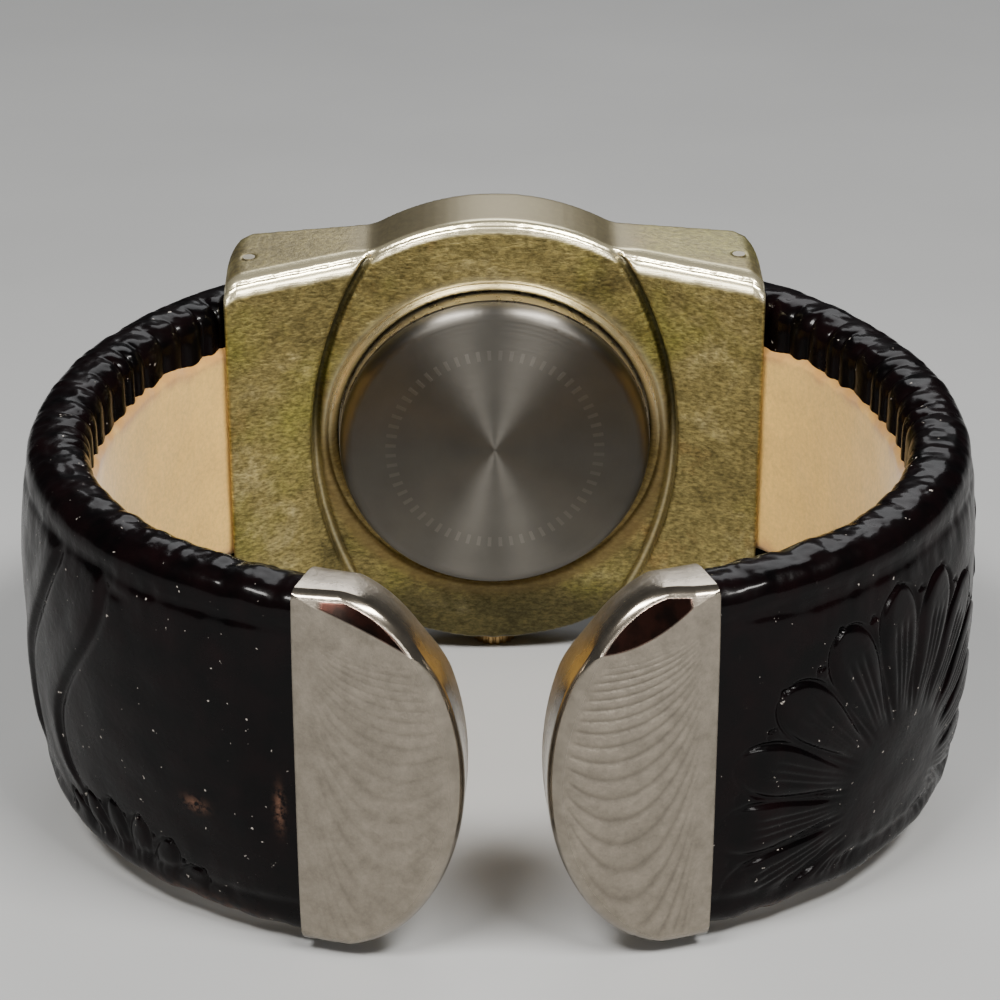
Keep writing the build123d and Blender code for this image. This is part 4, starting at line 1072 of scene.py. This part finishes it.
class CUFF_OT_hinges(bpy.types.Operator):
    """Finishes the hinge pins and springs, the steel cores and their padding"""

    bl_idname = "cuff.hinges"
    bl_label = "Hinges and cores"

    def execute(self, context):
        pin = plain_metal("pin_steel", (0.36, 0.33, 0.26), 0.4)
        strip = plain_metal("spring_steel", (0.34, 0.33, 0.32), 0.35)
        foam = plain_stuff("foam", (0.55, 0.50, 0.38), 0.95, 700.0)
        for side in ("left", "right"):
            dress(f"{side}_hinge_pin", pin)
            dress(f"{side}_hinge_spring", strip)
            dress(f"{side}_core", strip)
            dress(f"{side}_padding", foam)
        return {"FINISHED"}


class CUFF_OT_crown(bpy.types.Operator):
    """Finishes the fluted crown"""

    bl_idname = "cuff.crown"
    bl_label = "Crown"

    def execute(self, context):
        dress("crown", plain_metal("worn_gilt", (0.42, 0.28, 0.12), 0.3))
        return {"FINISHED"}


class CUFF_OT_stage(bpy.types.Operator):
    """Lays the tilted pale floor and sets the soft lights and the camera"""

    bl_idname = "cuff.stage"
    bl_label = "Floor, lights and camera"

    def execute(self, context):
        scene = context.scene
        crown_low, cap_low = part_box("crown")[0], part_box("left_end_cap")[0]
        touch = Vector((0, crown_low[1], crown_low[2]))
        tilt = math.atan2(cap_low[2] - touch.z, touch.y - cap_low[1] - CAP_FOOT * MM)
        mesh = bpy.data.meshes.new("floor")
        corners = [(x * FLOOR_HALF, y * FLOOR_HALF, 0) for x, y in ((-1, -1), (1, -1), (1, 1), (-1, 1))]
        mesh.from_pydata(corners, [], [(0, 1, 2, 3)])
        mesh.materials.append(floor_material())
        floor = bpy.data.objects.new("floor", mesh)
        scene.collection.objects.link(floor)
        low = Matrix.Translation(touch - Vector((0, 0, FLOOR_GAP * MM)))
        floor.matrix_world = low @ Matrix.Rotation(-tilt, 4, "X")
        world = scene.world or bpy.data.worlds.new("studio")
        scene.world = world
        world.use_nodes = True
        background = world.node_tree.nodes["Background"]
        background.inputs["Color"].default_value = SKY_COLOUR
        background.inputs["Strength"].default_value = SKY_STRENGTH
        centre = Vector((0, 0, CAD_BOX[1][2] * 0.5))
        for name, spot, width, power, colour in LIGHTS:
            data = bpy.data.lights.new(name, "AREA")
            data.shape = "RECTANGLE"
            data.size, data.size_y = width
            data.energy = power
            data.color = colour
            lamp = bpy.data.objects.new(name, data)
            lamp.location = spot
            lamp.rotation_euler = (centre - Vector(spot)).to_track_quat("-Z", "Y").to_euler()
            scene.collection.objects.link(lamp)
        camera_data = bpy.data.cameras.new("photograph")
        camera_data.sensor_width = SENSOR
        camera_data.lens = FOCAL_PIXELS / PHOTO_PIXELS * SENSOR
        camera_data.clip_start = 0.01
        camera = bpy.data.objects.new("photograph", camera_data)
        turn, rise, roll = (math.radians(v) for v in (CAMERA_TURN, CAMERA_ELEVATION, CAMERA_ROLL))
        back_turn = Matrix.Rotation(-turn, 4, "Z")
        spot = back_turn @ (Vector((CAMERA_SIDE, -CAMERA_FRONT, CAMERA_HEIGHT)) * MM) + Vector(WRIST)
        aim = back_turn @ Matrix.Rotation(math.pi / 2 - rise, 4, "X") @ Matrix.Rotation(roll, 4, "Z")
        camera.matrix_world = Matrix.Translation(spot) @ aim
        scene.collection.objects.link(camera)
        scene.camera = camera
        return {"FINISHED"}


class CUFF_PT_panel(bpy.types.Panel):
    """Lists the watch's pieces in the sidebar"""

    bl_idname = "CUFF_PT_panel"
    bl_label = "Cuff Watch"
    bl_space_type = "VIEW_3D"
    bl_region_type = "UI"
    bl_category = "Cuff Watch"

    def draw(self, context):
        column = self.layout.column()
        for operator in OPERATORS:
            column.operator(operator.bl_idname)
        for settings in (context.scene.cuff_leather, context.scene.cuff_metal):
            for name in settings.__annotations__:
                column.prop(settings, name)


OPERATORS = (
    CUFF_OT_leather,
    CUFF_OT_lining,
    CUFF_OT_caps,
    CUFF_OT_casting,
    CUFF_OT_case,
    CUFF_OT_dial,
    CUFF_OT_movement,
    CUFF_OT_hinges,
    CUFF_OT_crown,
    CUFF_OT_stage,
)
CLASSES = (LeatherSettings, MetalSettings, *OPERATORS, CUFF_PT_panel)


def register():
    for each in CLASSES:
        bpy.utils.register_class(each)
    bpy.types.Scene.cuff_leather = bpy.props.PointerProperty(type=LeatherSettings)
    bpy.types.Scene.cuff_metal = bpy.props.PointerProperty(type=MetalSettings)


def unregister():
    del bpy.types.Scene.cuff_leather
    del bpy.types.Scene.cuff_metal
    for each in reversed(CLASSES):
        bpy.utils.unregister_class(each)


def main():
    register()
    for operator in OPERATORS:
        group, name = operator.bl_idname.split(".")
        getattr(getattr(bpy.ops, group), name)()


if __name__ == "__main__":
    main()
